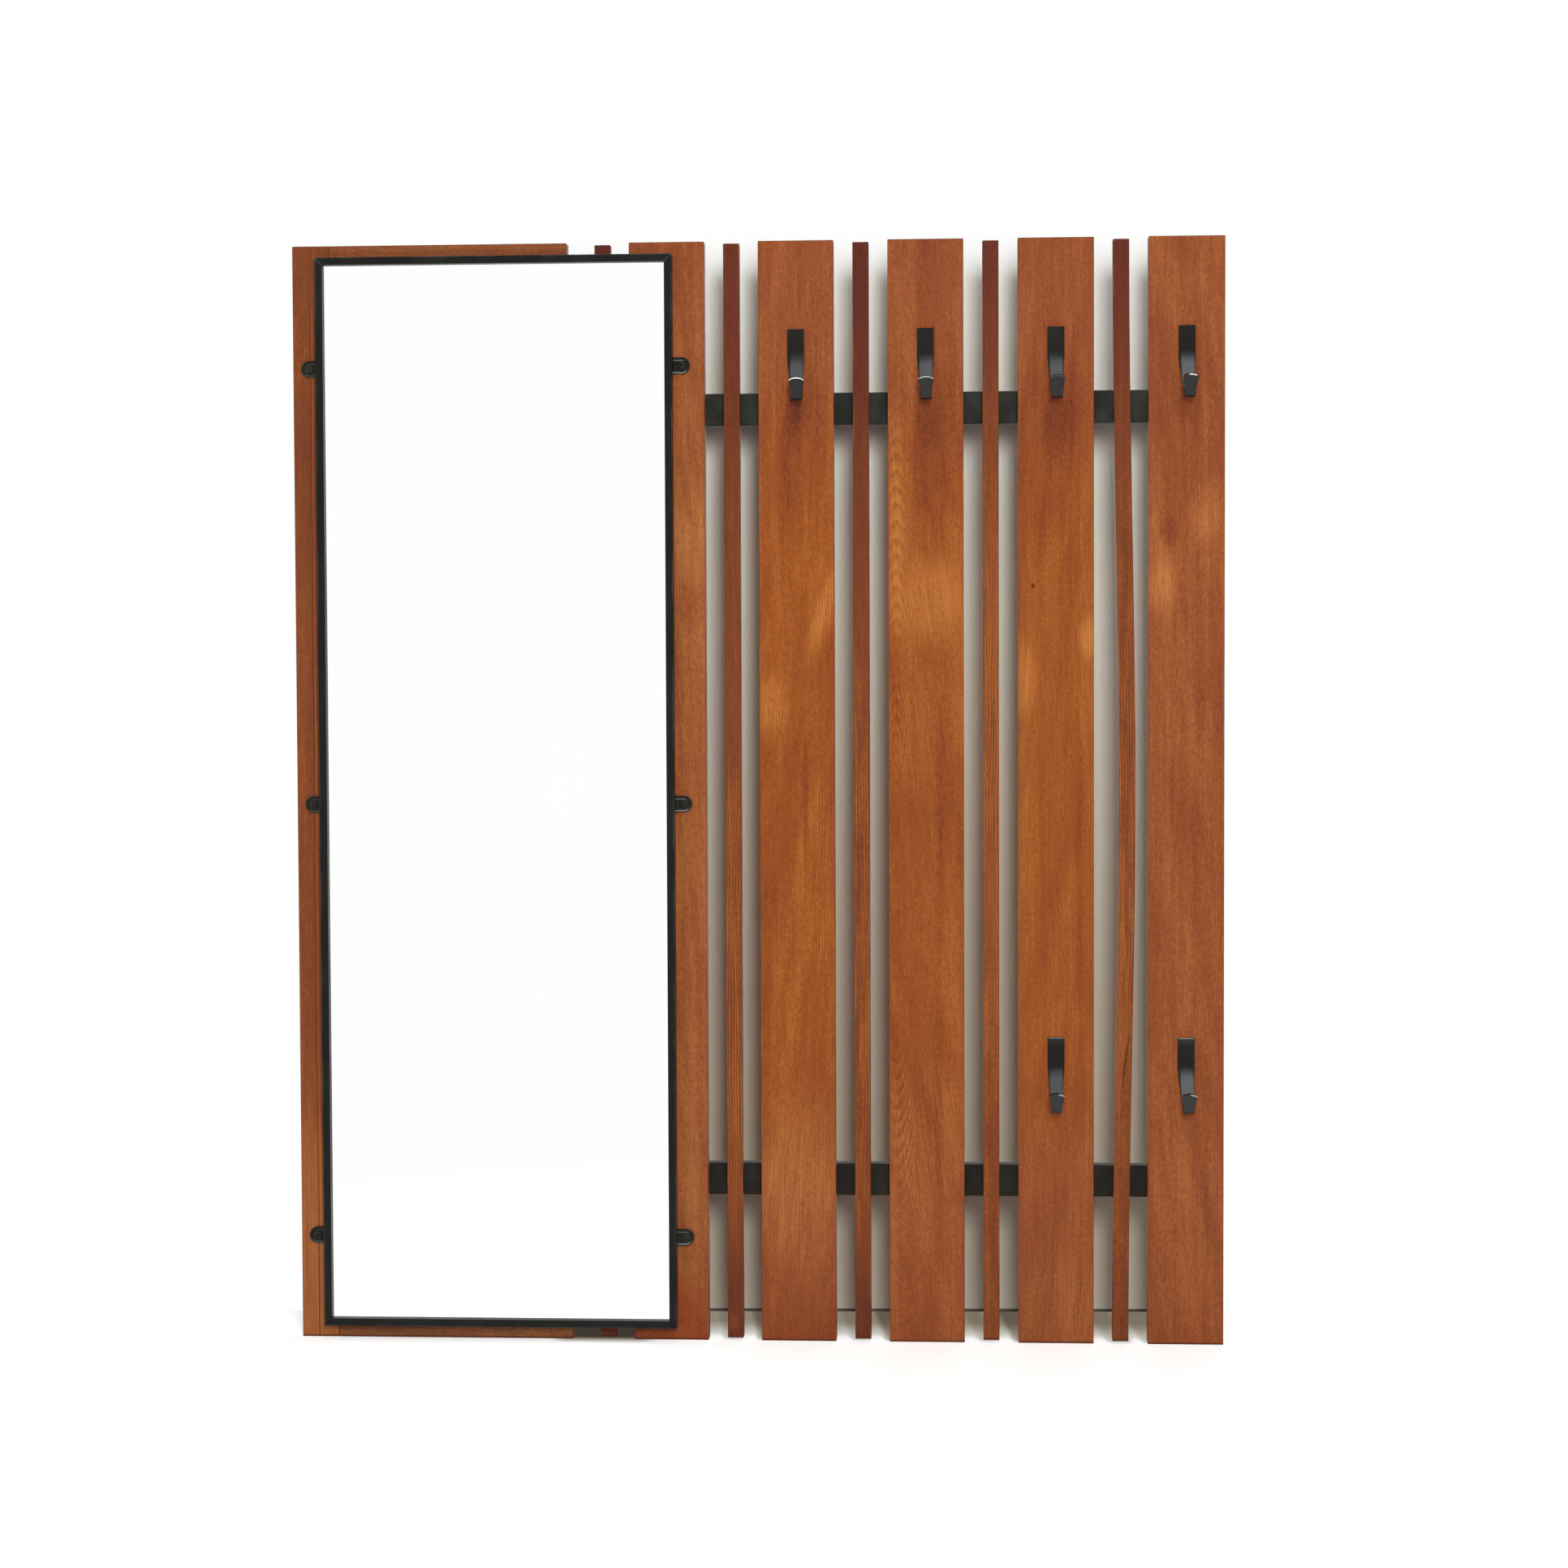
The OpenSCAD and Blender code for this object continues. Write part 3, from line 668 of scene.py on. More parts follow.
def black_paint(name, colour, middle=(0.0, 0.0, 0.0), seed=0.0, roughness=0.38, wear_and_highlights=None):
    """Satin black paint on steel: faint orange peel, dust, a few lighter rubs and painted
    highlights.

    wear_and_highlights(finish, cloud) gives two masks: where the paint turns grey, for rubs and
    for painted sheen and highlights, and where it turns to bright metal, for paint that is gone
    and for painted glints."""
    f = Finish(name, middle)
    peel = f.noise(520.0, seed)
    cloud = f.noise((38.0, 38.0, 22.0), seed + 2.0, 3.0, 0.6)
    dust = f.rise(f.noise(1300.0, seed + 5.0, 1.0), 0.66, 0.76)
    tint = f.blend(f.rise(cloud, 0.35, 0.75), tinted(colour, 0.7), tinted(colour, 1.5))
    tint = f.blend(dust * 0.10, tint, (0.16, 0.15, 0.13))
    metal = 0.0
    rough = roughness + (cloud - 0.5) * 0.22 + dust * 0.1
    if wear_and_highlights is not None:
        # grey holds rubs and painted sheen and highlights; bare holds paint that is gone and
        # painted glints
        grey, bare = wear_and_highlights(f, cloud)
        tint = f.blend(grey, tint, (0.108, 0.112, 0.121))
        if isinstance(bare, Wire):
            tint = f.blend(bare, tint, (0.92, 0.92, 0.91))
            metal = bare * 0.45
            rough = rough - bare * 0.10
    return f.skin(Base_Color=tint, Metallic=metal, Roughness=rough,
                  Normal=f.bump(peel, 0.06 * MM, 0.35), Specular_IOR_Level=0.16)


def zinc_steel(name, seed):
    """Zinc-plated steel: small crystalline clouds and dull spots."""
    f = Finish(name)
    spangle = f.node("ShaderNodeTexVoronoi", {"Vector": f.place, "Scale": 900.0}, "Color",
                     feature="F1")
    flake = f.split(spangle)[0]
    cloud = f.noise(160.0, seed, 3.0, 0.6)
    tint = f.blend(f.rise(cloud, 0.3, 0.7), (0.42, 0.43, 0.45), (0.60, 0.60, 0.59))
    tint = f.blend(flake * 0.25, tint, (0.70, 0.71, 0.73))
    return f.skin(Base_Color=tint, Metallic=0.92, Roughness=0.30 + cloud * 0.22 + flake * 0.08,
                  Normal=f.bump(flake, 0.02 * MM, 0.3))


def hardboard(middle):
    """Brown hardboard: pressed fibres with a fine woven back."""
    f = Finish("Hardboard", middle)
    fibre = f.noise((900.0, 900.0, 620.0), 3.0, 4.0, 0.65)
    cloud = f.noise((18.0, 18.0, 14.0), 7.0, 3.0, 0.6)
    weave = f.math("SINE", f.x * 4200.0) * f.math("SINE", f.z * 4200.0)
    tint = f.blend(f.rise(fibre * 0.7 + cloud * 0.3, 0.3, 0.7), (0.135, 0.066, 0.032),
                   (0.26, 0.145, 0.078))
    return f.skin(Base_Color=tint, Roughness=0.78 + (fibre - 0.5) * 0.2,
                  Normal=f.bump(fibre * 0.5 + weave * 0.25, 0.2 * MM, 0.5),
                  Specular_IOR_Level=0.2)


def moulded_plastic():
    """Black moulded plastic with a fine spark-eroded grain."""
    f = Finish("Moulded plug")
    pebble = f.noise(1500.0, 2.0)
    tint = f.blend(f.noise(60.0, 5.0), (0.011, 0.011, 0.012), (0.021, 0.021, 0.022))
    return f.skin(Base_Color=tint, Roughness=0.52 + (pebble - 0.5) * 0.25,
                  Normal=f.bump(pebble, 0.05 * MM, 0.5), Specular_IOR_Level=0.35)


def beech():
    """Pale beech dowel with short dark flecks along X and Z."""
    f = Finish("Beech dowel")
    fleck = f.rise(f.noise((420.0, 900.0, 420.0), 4.0), 0.58, 0.7)
    band = f.noise((60.0, 260.0, 60.0), 8.0, 3.0)
    tint = f.blend(band, (0.50, 0.33, 0.17), (0.68, 0.49, 0.28))
    tint = f.blend(fleck * 0.5, tint, (0.30, 0.17, 0.08))
    return f.skin(Base_Color=tint, Roughness=0.6 + (band - 0.5) * 0.2,
                  Normal=f.bump(band, 0.1 * MM, 0.4), Specular_IOR_Level=0.25)


def silvered_glass(middle, half, tint):
    """Mirror glass: silvered face, with ground edges that read green-grey."""
    f = Finish("Silvered glass", middle)
    rim = f.least(half.x - abs(f.x), half.z - abs(f.z))
    ground = f.rise(rim, 1.1 * MM, 0.7 * MM)
    face = f.blend(f.noise(9.0, 6.0, 3.0), tinted(tint, 0.985), tint)
    return f.skin(Base_Color=f.blend(ground, face, (0.30, 0.38, 0.35)),
                  Metallic=1.0 - ground * 0.7, Roughness=ground * 0.45)


# ---------------------------------------------------------------- sizes and colours

def length(name, text, millimetres):
    return FloatProperty(name=name, description=text, default=millimetres * MM, min=0.0,
                         subtype="DISTANCE", unit="LENGTH", precision=4)


def watts(name, text, value):
    return FloatProperty(name=name, description=text, default=value, min=0.0, unit="POWER")


def count(name, text, value, least):
    return IntProperty(name=name, description=text, default=value, min=least)


def paint(name, text, value):
    return FloatVectorProperty(name=name, description=text, default=value, subtype="COLOR",
                               size=3, min=0.0, max=1.0)


class RackWood(bpy.types.PropertyGroup):
    """Sizes and colours of the boards, the battens and the mirror's panel."""

    edge_radius: length("Edge Radius", "Rounding of the boards' and the panel's edges", 0.8)
    batten_radius: length("Batten Radius", "Rounding of the battens' edges", 0.9)
    bow_steps: count("Bow Steps", "Lengths that follow a bowed batten", 48, 8)
    board_colour: paint("Board Colour", "Middle colour of the boards", (0.294, 0.073, 0.0105))
    batten_colour: paint("Batten Colour", "Middle colour of the battens",
                         (0.205, 0.052, 0.0142))
    panel_colour: paint("Panel Colour", "Middle colour of the mirror's panel",
                        (0.216, 0.056, 0.0170))


class RackSteel(bpy.types.PropertyGroup):
    """Sizes and colours of the tubes and of the black steel parts."""

    tube_wall: length("Tube Wall", "Thickness of the tubes' walls", 1.5)
    tube_corner: length("Tube Corner", "Outer corner radius of the tubes", 1.6)
    access_hole: length("Access Hole", "Diameter of the holes that let a screw's head in", 9.5)
    pilot_hole: length("Pilot Hole", "Diameter of the holes in the tubes' front walls", 4.2)
    keyhole_entry: length("Keyhole Entry", "Diameter of a keyhole's round entry", 10.0)
    keyhole_slot: length("Keyhole Slot", "Width of a keyhole's slot", 4.5)
    keyhole_rise: length("Keyhole Rise", "Height of the slot's end above the entry", 9.0)
    keyhole_below: length("Keyhole Below", "Distance from a tube's middle to the entry", 5.0)
    keyhole_span: length("Keyhole Span", "Distance between a tube's two keyholes", 636.0)
    colour: paint("Black Paint", "Colour of the painted steel", (0.0105, 0.0090, 0.0072))


class RackMirror(bpy.types.PropertyGroup):
    """Sizes and colours of the mirror."""

    bar_softness: length("Bar Softness", "Rounding of the frame's edges", 0.45)
    lug_softness: length("Lug Softness", "Rounding of the lugs' edges", 0.3)
    glass_edge: length("Glass Edge", "Ground edge of the glass", 0.8)
    tab_corner: length("Tab Corner", "Rounding of the backing tabs", 0.15)
    silver: paint("Silver", "Tint of the reflection", (0.996, 0.996, 0.992))


class RackHook(bpy.types.PropertyGroup):
    """Sizes of the bent hooks, which repeat those of the CAD source."""

    width: length("Width", "Width of the flat top", 15.5)
    strip: length("Strip", "Thickness of the strip", 3.0)
    flat: length("Flat", "Length of the flat part on the board", 28.0)
    height: length("Height", "Height of the whole hook", 67.5)
    reach: length("Reach", "Distance of the tip's middle from the board", 36.5)
    bend_out: length("Bend Out", "Distance of the bend's centre from the board", 22.0)
    lip: length("Lip", "Height of the tip above the lowest point", 20.0)
    bend_radius: length("Bend Radius", "Inner radius of the bend", 3.0)
    knee_radius: length("Knee Radius", "Inner radius of the knee under the flat part", 8.0)
    waist: length("Waist", "Width at the bend", 10.0)
    tip: length("Tip", "Width of the tip", 14.0)
    arch: length("Arch", "Height of the arched edge", 2.0)
    softness: length("Softness", "Rounding of the strip's edges", 0.7)
    stud: length("Stud", "Thread diameter of the studs", 4.0)
    stud_inset: length("Stud Inset", "Height of the first stud below the top", 7.0)
    stud_span: length("Stud Span", "Distance between the two studs", 13.0)


class RackFixing(bpy.types.PropertyGroup):
    """Sizes of the screws, nuts, washers and dowels."""

    head: length("Screw Head", "Diameter of the screws' heads", 8.0)
    head_height: length("Head Height", "Height of the screws' heads", 2.4)
    shank: length("Shank", "Diameter of the screws' shanks", 4.0)
    pitch: length("Pitch", "Rise of one turn of a wood screw's thread", 1.4)
    recess: length("Recess", "Width across the cross recess", 4.6)
    fine_pitch: length("Fine Pitch", "Rise of one turn of the studs' thread", 0.7)
    flutes: count("Flutes", "Grooves round a dowel", 16, 6)


class RackStage(bpy.types.PropertyGroup):
    """Light, floor and wall."""

    key: watts("Key", "Power of the main lamp beside the camera", 44.0)
    top: watts("Top", "Power of the lamp above the front", 6.0)
    fill: watts("Fill", "Power of the left lamp", 10.0)
    back: watts("Back", "Power of the lamp behind the rack", 16.0)
    ambience: FloatProperty(name="Ambience", description="Strength of the room's own light",
                            default=0.35, min=0.0, max=1.0, subtype="FACTOR")
    wall_gap: length("Wall Gap", "Distance from the rack's back to the wall", 95.0)
    wall_colour: paint("Wall Colour", "Colour of the wall", (0.79, 0.84, 0.765))


GROUPS = {
    "rack_wood": RackWood,
    "rack_steel": RackSteel,
    "rack_mirror": RackMirror,
    "rack_hook": RackHook,
    "rack_fixing": RackFixing,
    "rack_stage": RackStage,
}


# ---------------------------------------------------------------- boards, battens, panel

# painted shade: the small dark patches just below the hooks are painted shadows of the hooks, and
# the wide dark ones high on boards 2 to 5 are painted shade
BOARD_GRAIN = {
    "board_1": Grain(
        11.3, 0.07, (-60.0, 25.0), 0.015, 0.03,
        ((20, 238, 30, 50, 0.24), (26, -60, 8, 160, 0.05), (8, 330, 26, 50, 0.13)),
        ends=((0.9, 70.0), (0.3, 60.0)), lean=0.10, dull=(1.0, 0.9, 1.0)),
    "board_2": Grain(
        23.9, 0.00, (75.0, 30.0), 0.012, 0.04,
        ((27, 176, 10, 50, 0.36, 0.30), (-22, 83, 15, 32, 0.30), (8, -5, 4, 68, -0.12),
         (22, -70, 8, 130, 0.10), (0, 472, 0.9, 42, 0.14), (0, 320, 44, 70, -0.10),
         (0, -365, 40, 85, 0.24), (3, 352, 15, 30, -0.08), (-1, 358, 8, 15, -0.14)),
        ends=((0.66, 66.0), (0.2, 60.0)), lean=-0.12, dull=(0.9, 0.1, 1.0)),
    "board_3": Grain(
        37.1, 0.01, (-27.0, 2.0), 0.10, 0.03,
        ((-27, 262, 9, 95, 0.23), (2, 181, 42, 40, 0.31), (30, 240, 6, 40, 0.08),
         (11, -200, 4, 200, -0.10), (8, 320, 28, 70, -0.16), (-14, 60, 9, 60, 0.08),
         (20, 20, 9, 70, -0.07), (2, 350, 15, 32, -0.10), (10, 262, 24, 44, -0.10),
         (4, 55, 44, 55, 0.15), (0, -318, 44, 80, 0.17)),
        ends=((0.2, 70.0), (0.2, 60.0)), lean=0.14, ring=1.5, dull=(0.9, 0.3, 1.0)),
    "board_4": Grain(
        41.7, 0.01, (80.0, 25.0), 0.012, 0.04,
        ((-21, 193, 2.0, 3, -0.5), (30, 144, 9, 22, 0.38), (-28, 108, 11, 40, 0.37),
         (22, -53, 4, 150, -0.12), (0, 300, 44, 90, -0.12), (0, -475, 44, 40, 0.14),
         (0, 341, 16, 38, -0.15)),
        ends=((0.1, 60.0), (0.2, 60.0)), lean=-0.10, dull=(1.0, 0.2, 1.0)),
    "board_5": Grain(
        59.2, 0.02, (-75.0, 30.0), 0.014, 0.04,
        ((20, 261, 16, 30, 0.24), (-22, 196, 14, 30, 0.36), (14, -100, 9, 300, -0.07),
         (-20, 243, 13, 16, -0.18), (0, 320, 44, 60, -0.05), (-2, 358, 9, 15, -0.14)),
        ends=((0.25, 60.0), (0.1, 60.0)), lean=0.12, dull=(1.0, 0.9, 1.0)),
}
# tone, darkness of the lower and the upper end with their reach, the pale middle (height,
# half its length, strength), a pale foot and a dark streak on one of them
BATTEN_LOOK = {
    "batten_1": (-0.10, (0.7, 120.0), (0.9, 260.0), (0, 200, 0.05), 0.1),
    "batten_2": (-0.06, (0.74, 160.0), (0.78, 380.0), (-190, 260, 0.18), 0.30),
    "batten_3": (-0.07, (0.88, 115.0), (1.0, 430.0), (-150, 290, 0.20), 0.10),
    "batten_4": (0.02, (0.2, 150.0), (0.95, 300.0), (60, 200, 0.12), 0.05),
    "batten_5": (0.02, (0.4, 160.0), (1.0, 320.0), (0, 220, 0.10), 0.05,
                 (1.3, -251, 1.1, 30, -0.42, 0.136)),
}
PANEL_GRAIN = {
    "panel_stile_outer": Grain(
        101.3, -0.03, (40.0, 25.0), 0.012, 0.03,
        ((0, 350, 30, 70, -0.04), (0, -430, 30, 160, 0.29)), ((0.0, 60.0), (0.3, 90.0)),
        lean=0.01, calm=0.55, dull=(1.0, 0.0, 0.0), crack=(-1.0, 460.0)),
    "panel_stile_inner": Grain(113.9, -0.02, (-45.0, 25.0), 0.012, 0.03),
    "panel_rail_top": Grain(
        127.1, 0.05, (60.0, 30.0), 0.03, 0.04, (), ((0.2, 40.0), (0.2, 30.0)),
        lean=0.01, calm=0.7, tint=(1.0, 1.11, 1.33)),
    # painted shade: the lower rail's bluer tint stands for the cool shade under the mirror's frame
    "panel_rail_bottom": Grain(
        139.7, 0.08, (60.0, 30.0), 0.03, 0.04, (), ((0.3, 40.0), (0.2, 30.0)),
        lean=0.01, calm=0.7, tint=(0.86, 1.09, 1.49)),
}


def slat(node, radius, finish, slot, bow=0.0, steps=2):
    """A length of wood where its CAD node is; bow pushes its middle towards +X."""
    low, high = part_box(node)
    size = high - low - Vector((bow, 0.0, 0.0))
    middle = (low + high) / 2 - Vector((bow / 2, 0.0, 0.0))
    obj = shown("wood_" + node, bpy.data.meshes.new(node))
    tree = bpy.data.node_groups.get("Slat") or slat_tree()
    grown(obj, tree, Size=tuple(size), Middle=tuple(middle), Bow=bow, Steps=steps,
          Finish=finish)
    finished(softened(obj, radius), slot, node)


class RACK_OT_boards(bpy.types.Operator):
    """Make the five wide boards, each with its own grain"""
    bl_idname = "coat_rack.boards"
    bl_label = "Boards"

    def execute(self, context):
        wood = context.scene.rack_wood
        for node in BOARDS:
            finish = oiled_wood(node, BOARD_GRAIN[node], wood.board_colour)
            slat(node, wood.edge_radius, finish, "oiled_boards")
        return {"FINISHED"}


class RACK_OT_battens(bpy.types.Operator):
    """Make the five narrow battens, the last of them bowed"""
    bl_idname = "coat_rack.battens"
    bl_label = "Battens"

    def execute(self, context):
        wood = context.scene.rack_wood
        widths = [(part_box(node)[1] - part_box(node)[0]).x for node in BATTENS]
        for k, node in enumerate(BATTENS):
            tone, lower, upper, (height, tall, pale), foot, *streaks = BATTEN_LOOK[node]
            patches = ((0, height, 14, tall, pale), (-2, -497, 6, 9, foot), *streaks)
            grain = Grain(71.0 + 7.3 * k, tone, (30.0, 15.0), 0.01, 0.03, patches,
                          (lower, upper), 0.4, 0.02, calm=0.65)
            finish = oiled_wood(node, grain, wood.batten_colour, (0.120, 0.026, 0.010),
                                (0.110, 0.022, 0.0125))
            slat(node, wood.batten_radius, finish, "dark_battens",
                 widths[k] - min(widths), wood.bow_steps)
        return {"FINISHED"}


class RACK_OT_panel(bpy.types.Operator):
    """Make the mirror panel's stiles, its level cross rails and its dowels"""
    bl_idname = "coat_rack.panel"
    bl_label = "Mirror Panel"

    def execute(self, context):
        wood = context.scene.rack_wood
        for node, grain in PANEL_GRAIN.items():
            finish = oiled_wood(node, grain, wood.panel_colour, (0.125, 0.030, 0.011),
                                (0.16, 0.036, 0.013), "rail" in node)
            slat(node, wood.edge_radius, finish, "oiled_boards")
        self.dowels(context.scene.rack_fixing.flutes)
        return {"FINISHED"}

    def dowels(self, flutes):
        middles, sizes = solids("panel_dowels")
        radius, half = min(sizes[0]) / 2, max(sizes[0]) / 2
        chamfer = radius * 0.25

        def fluted(r, z, angle):
            return r - radius * 0.03 * (1 + math.cos(flutes * angle)), z
        profile = [(0.0, -half), (radius - chamfer, -half), (radius, chamfer - half),
                   (radius, half - chamfer), (radius - chamfer, half), (0.0, half)]
        pin = shown_bmesh("dowel template", turned(profile, 4 * flutes, fluted))
        lying = [(0.0, QUARTER if size.x > size.z else 0.0, 0.0) for size in sizes]
        scattered("panel_dowels", pin, middles, lying, beech(), "dowel_wood")


# ---------------------------------------------------------------- tubes, plugs, screws

SCREWS = ("board_screws", "batten_screws", "panel_screws")


class RACK_OT_tubes(bpy.types.Operator):
    """Make the two drilled steel tubes and the plugs in their ends"""
    bl_idname = "coat_rack.tubes"
    bl_label = "Tubes"

    def execute(self, context):
        steel = context.scene.rack_steel
        wall = steel.tube_wall
        screws = [place for node in SCREWS for place in solids(node)[0]]
        keyhole = self.keyhole(steel)
        tree = tube_tree()
        # both tubes have one paint; the upper tube is painted lighter and bluer than the lower, as
        # painted light
        for node, shade, seed in (("tube_upper", (2.4, 2.9, 3.1), 3.1),
                                  ("tube_lower", (2.1, 2.2, 2.2), 8.4)):
            low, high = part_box(node)
            middle = (low + high) / 2
            back, front = high.y - wall / 2, low.y + wall / 2
            mine = [place.x for place in screws if abs(place.z - middle.z) < 1 * MM]
            tube = points("steel_" + node, [(x, y, middle.z) for y in (back, front) for x in mine],
                          radius=[hole / 2 for hole in (steel.access_hole, steel.pilot_hole)
                                  for _ in mine])
            entries = points("entries", [(side * steel.keyhole_span / 2, back,
                                          middle.z - steel.keyhole_below) for side in (-1, 1)])
            grown(tube, tree, Start=(low.x, middle.y, middle.z), End=(high.x, middle.y, middle.z),
                  Depth=high.y - low.y, Height=high.z - low.z, Wall=wall,
                  Corner=steel.tube_corner, Reach=wall * 1.8, Keyhole=keyhole,
                  Keyhole_Places=entries, Finish=black_paint(
                      "Black " + node, tinted(steel.colour, shade), middle, seed, 0.66))
            finished(evened(plain(tube)), "black_paint", node)
            thrown_away(entries)
        thrown_away(keyhole)
        rounded("plastic_end_plugs", "tube_end_plugs", 0.35 * MM, 2, "black_plastic",
                moulded_plastic())
        return {"FINISHED"}

    def keyhole(self, steel):
        """The shape that cuts one keyhole: a round entry with a slot that ends round."""
        entry, slot, rise = steel.keyhole_entry / 2, steel.keyhole_slot / 2, steel.keyhole_rise
        meet = math.asin(slot / entry)
        outline = []
        for radius, centre, start, sweep, steps in (
                (entry, 0.0, QUARTER + meet, TURN - 2 * meet, 32), (slot, rise, 0.0, math.pi, 12)):
            for k in range(steps + 1):
                angle = start + sweep * k / steps
                outline.append((radius * math.cos(angle), centre + radius * math.sin(angle)))
        bm = bmesh.new()
        reach = steel.tube_wall * 0.9
        rows = [[bm.verts.new((x, y, z)) for x, z in outline] for y in (-reach, reach)]
        for k in range(len(outline)):
            after = (k + 1) % len(outline)
            bm.faces.new([rows[0][k], rows[0][after], rows[1][after], rows[1][k]])
        for row in rows:
            bm.faces.new(row)
        return shown_bmesh("keyhole cutter", bm)


def pan_screw(fixing, long):
    """A pan-head wood screw with a cross recess; its head stands on z = 0."""
    head, tall, core = fixing.head / 2, fixing.head_height, fixing.shank / 2
    point, tip, rim = 3.0 * MM, 0.5 * MM, 0.25 * MM
    rows = 6 * max(1, round((long - point) / fixing.pitch))
    profile = [(0.0, -long), (core * 0.25, 0.4 * MM - long)]
    profile += [(core * (0.3 + 0.7 * k / 5), point * k / 5 + tip - long) for k in range(1, 5)]
    profile += [(core, point + tip - long + (long - point - tip) * k / rows)
                for k in range(rows)]
    profile += [(core, 0.0), (head * 0.96, 0.0), (head, rim)]
    profile += [(head * math.cos(a) ** 0.45, rim + (tall - rim) * math.sin(a))
                for a in map(math.radians, (25, 45, 62, 76))]
    profile += [(head * 0.3, tall), (0.0, tall)]
    screw = shown_bmesh("screw template", turned(
        profile, 24, threaded(fixing.pitch, core * 0.28, 1 * MM - long, -0.8 * MM)))
    cutter = bmesh.new()
    for turn in (0.0, QUARTER):
        for vert in bmesh.ops.create_cube(cutter, size=1.0)["verts"]:
            at_top = vert.co.z > 0
            arm = fixing.recess * (1.0 if at_top else 0.45)
            vert.co = Vector((arm * vert.co.x, 1.0 * MM * vert.co.y,
                              tall + (0.5 * MM if at_top else -1.5 * MM)))
            vert.co.rotate(Matrix.Rotation(turn, 3, "Z"))
    cutter = shown_bmesh("recess cutter", cutter)
    cut = screw.modifiers.new("Recess", "BOOLEAN")
    cut.operation = "DIFFERENCE"
    cut.solver = "EXACT"
    cut.use_self = True
    cut.object = cutter
    plain(screw)
    thrown_away(cutter)
    return screw


def driven(node, fixing, way, first, step, finish, slot):
    """Screws in place of the solids of a CAD node, their heads at the back (1) or front (-1)."""
    middles, sizes = solids(node)
    shank = sizes[0].y - fixing.head_height
    seats = [middle + Vector((0.0, way * (shank - sizes[0].y / 2), 0.0)) for middle in middles]
    turns = [(-way * QUARTER, first + step * k, 0.0) for k in range(len(middles))]
    scattered(node, pan_screw(fixing, shank), seats, turns, finish, slot)


class RACK_OT_screws(bpy.types.Operator):
    """Put the wood screws through the tubes into boards, battens and panel"""
    bl_idname = "coat_rack.screws"
    bl_label = "Wood Screws"

    def execute(self, context):
        finish = zinc_steel("Zinc screw", 2.0)
        for node in SCREWS:
            driven(node, context.scene.rack_fixing, 1, 0.9, 2.4, finish, "zinc_steel")
        return {"FINISHED"}


# ---------------------------------------------------------------- mirror and lugs

class RACK_OT_mirror(bpy.types.Operator):
    """Make the mitred frame, the glass, the backing and its tabs"""
    bl_idname = "coat_rack.mirror"
    bl_label = "Mirror"

    def execute(self, context):
        mirror = context.scene.rack_mirror
        colour = tinted(context.scene.rack_steel.colour, (0.62, 0.80, 0.80))
        low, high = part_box("mirror_frame_top")
        half_x = (high.x - low.x) / 2
        half_z = (high.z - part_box("mirror_frame_bottom")[0].z) / 2

        def mitred(f, cloud):
            """Painted highlights for black_paint: light mitre lines, most at the top, and a light
            rim.
            """
            in_x, in_z = half_x - abs(f.x), half_z - abs(f.z)
            mitre = f.rise(abs(in_x - in_z), 0.7 * MM, 0.3 * MM)
            corner = f.rise(f.most(in_x, in_z), 16.0 * MM, 14.0 * MM)
            line = mitre * corner * f.rise(f.z, -0.2, 0.2)
            rim_glint = f.rise(f.least(in_x, in_z), 1.0 * MM, 0.4 * MM) * f.rise(cloud, 0.42, 0.62)
            return f.most(line * 0.74, rim_glint * 0.37), 0.0
        finish = black_paint("Black frame", colour, middle_of(*MIRROR_BARS), 4.4, 0.34, mitred)
        for node in MIRROR_BARS:
            rounded("bar_" + node, node, mirror.bar_softness, 3, "black_paint", finish)
        low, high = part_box("mirror_glass")
        rounded("sheet_mirror_glass", "mirror_glass", mirror.glass_edge, 2, "mirror_glass",
                silvered_glass((low + high) / 2, (high - low) / 2, mirror.silver))
        rounded("sheet_mirror_backing", "mirror_backing", 0.3 * MM, 2, "hardboard",
                hardboard(middle_of("mirror_backing")))
        self.tabs(mirror)
        return {"FINISHED"}

    def tabs(self, mirror):
        """Pressed steel tabs with a round dimple, long side along Z before they are turned."""
        middles, sizes = solids("backing_tabs")
        thick, wide, tall = sorted(sizes[0])
        bm = bmesh.new()
        for vert in bmesh.ops.create_cube(bm, size=1.0)["verts"]:
            vert.co = Vector((vert.co.x * wide, vert.co.y * thick, vert.co.z * tall))
        across = [edge for edge in bm.edges
                  if abs(edge.verts[0].co.y - edge.verts[1].co.y) > thick / 2]
        bmesh.ops.bevel(bm, geom=across, offset=1.6 * MM, segments=5, affect="EDGES")
        back = max(bm.faces, key=lambda face: face.calc_center_median().y)
        for inset, depth in ((2.4 * MM, 0.0), (0.5 * MM, -0.35 * MM)):
            bmesh.ops.inset_individual(bm, faces=[back], thickness=inset, depth=depth)
        template = softened(shown_bmesh("tab template", bm), mirror.tab_corner, 2, 50.0)
        turns = [(0.0, 0.0 if size.z > size.x else QUARTER, 0.0) for size in sizes]
        scattered("backing_tabs", template, middles, turns, zinc_steel("Zinc tab", 9.0),
                  "zinc_steel")


# how bright each lug's painted rim highlights are
LUG_SHINE = {
    "mirror_lug_left_top": 0.22,
    "mirror_lug_left_middle": 0.20,
    "mirror_lug_left_bottom": 0.25,
    "mirror_lug_right_top": 1.0,
    "mirror_lug_right_middle": 0.9,
    "mirror_lug_right_bottom": 0.8,
}


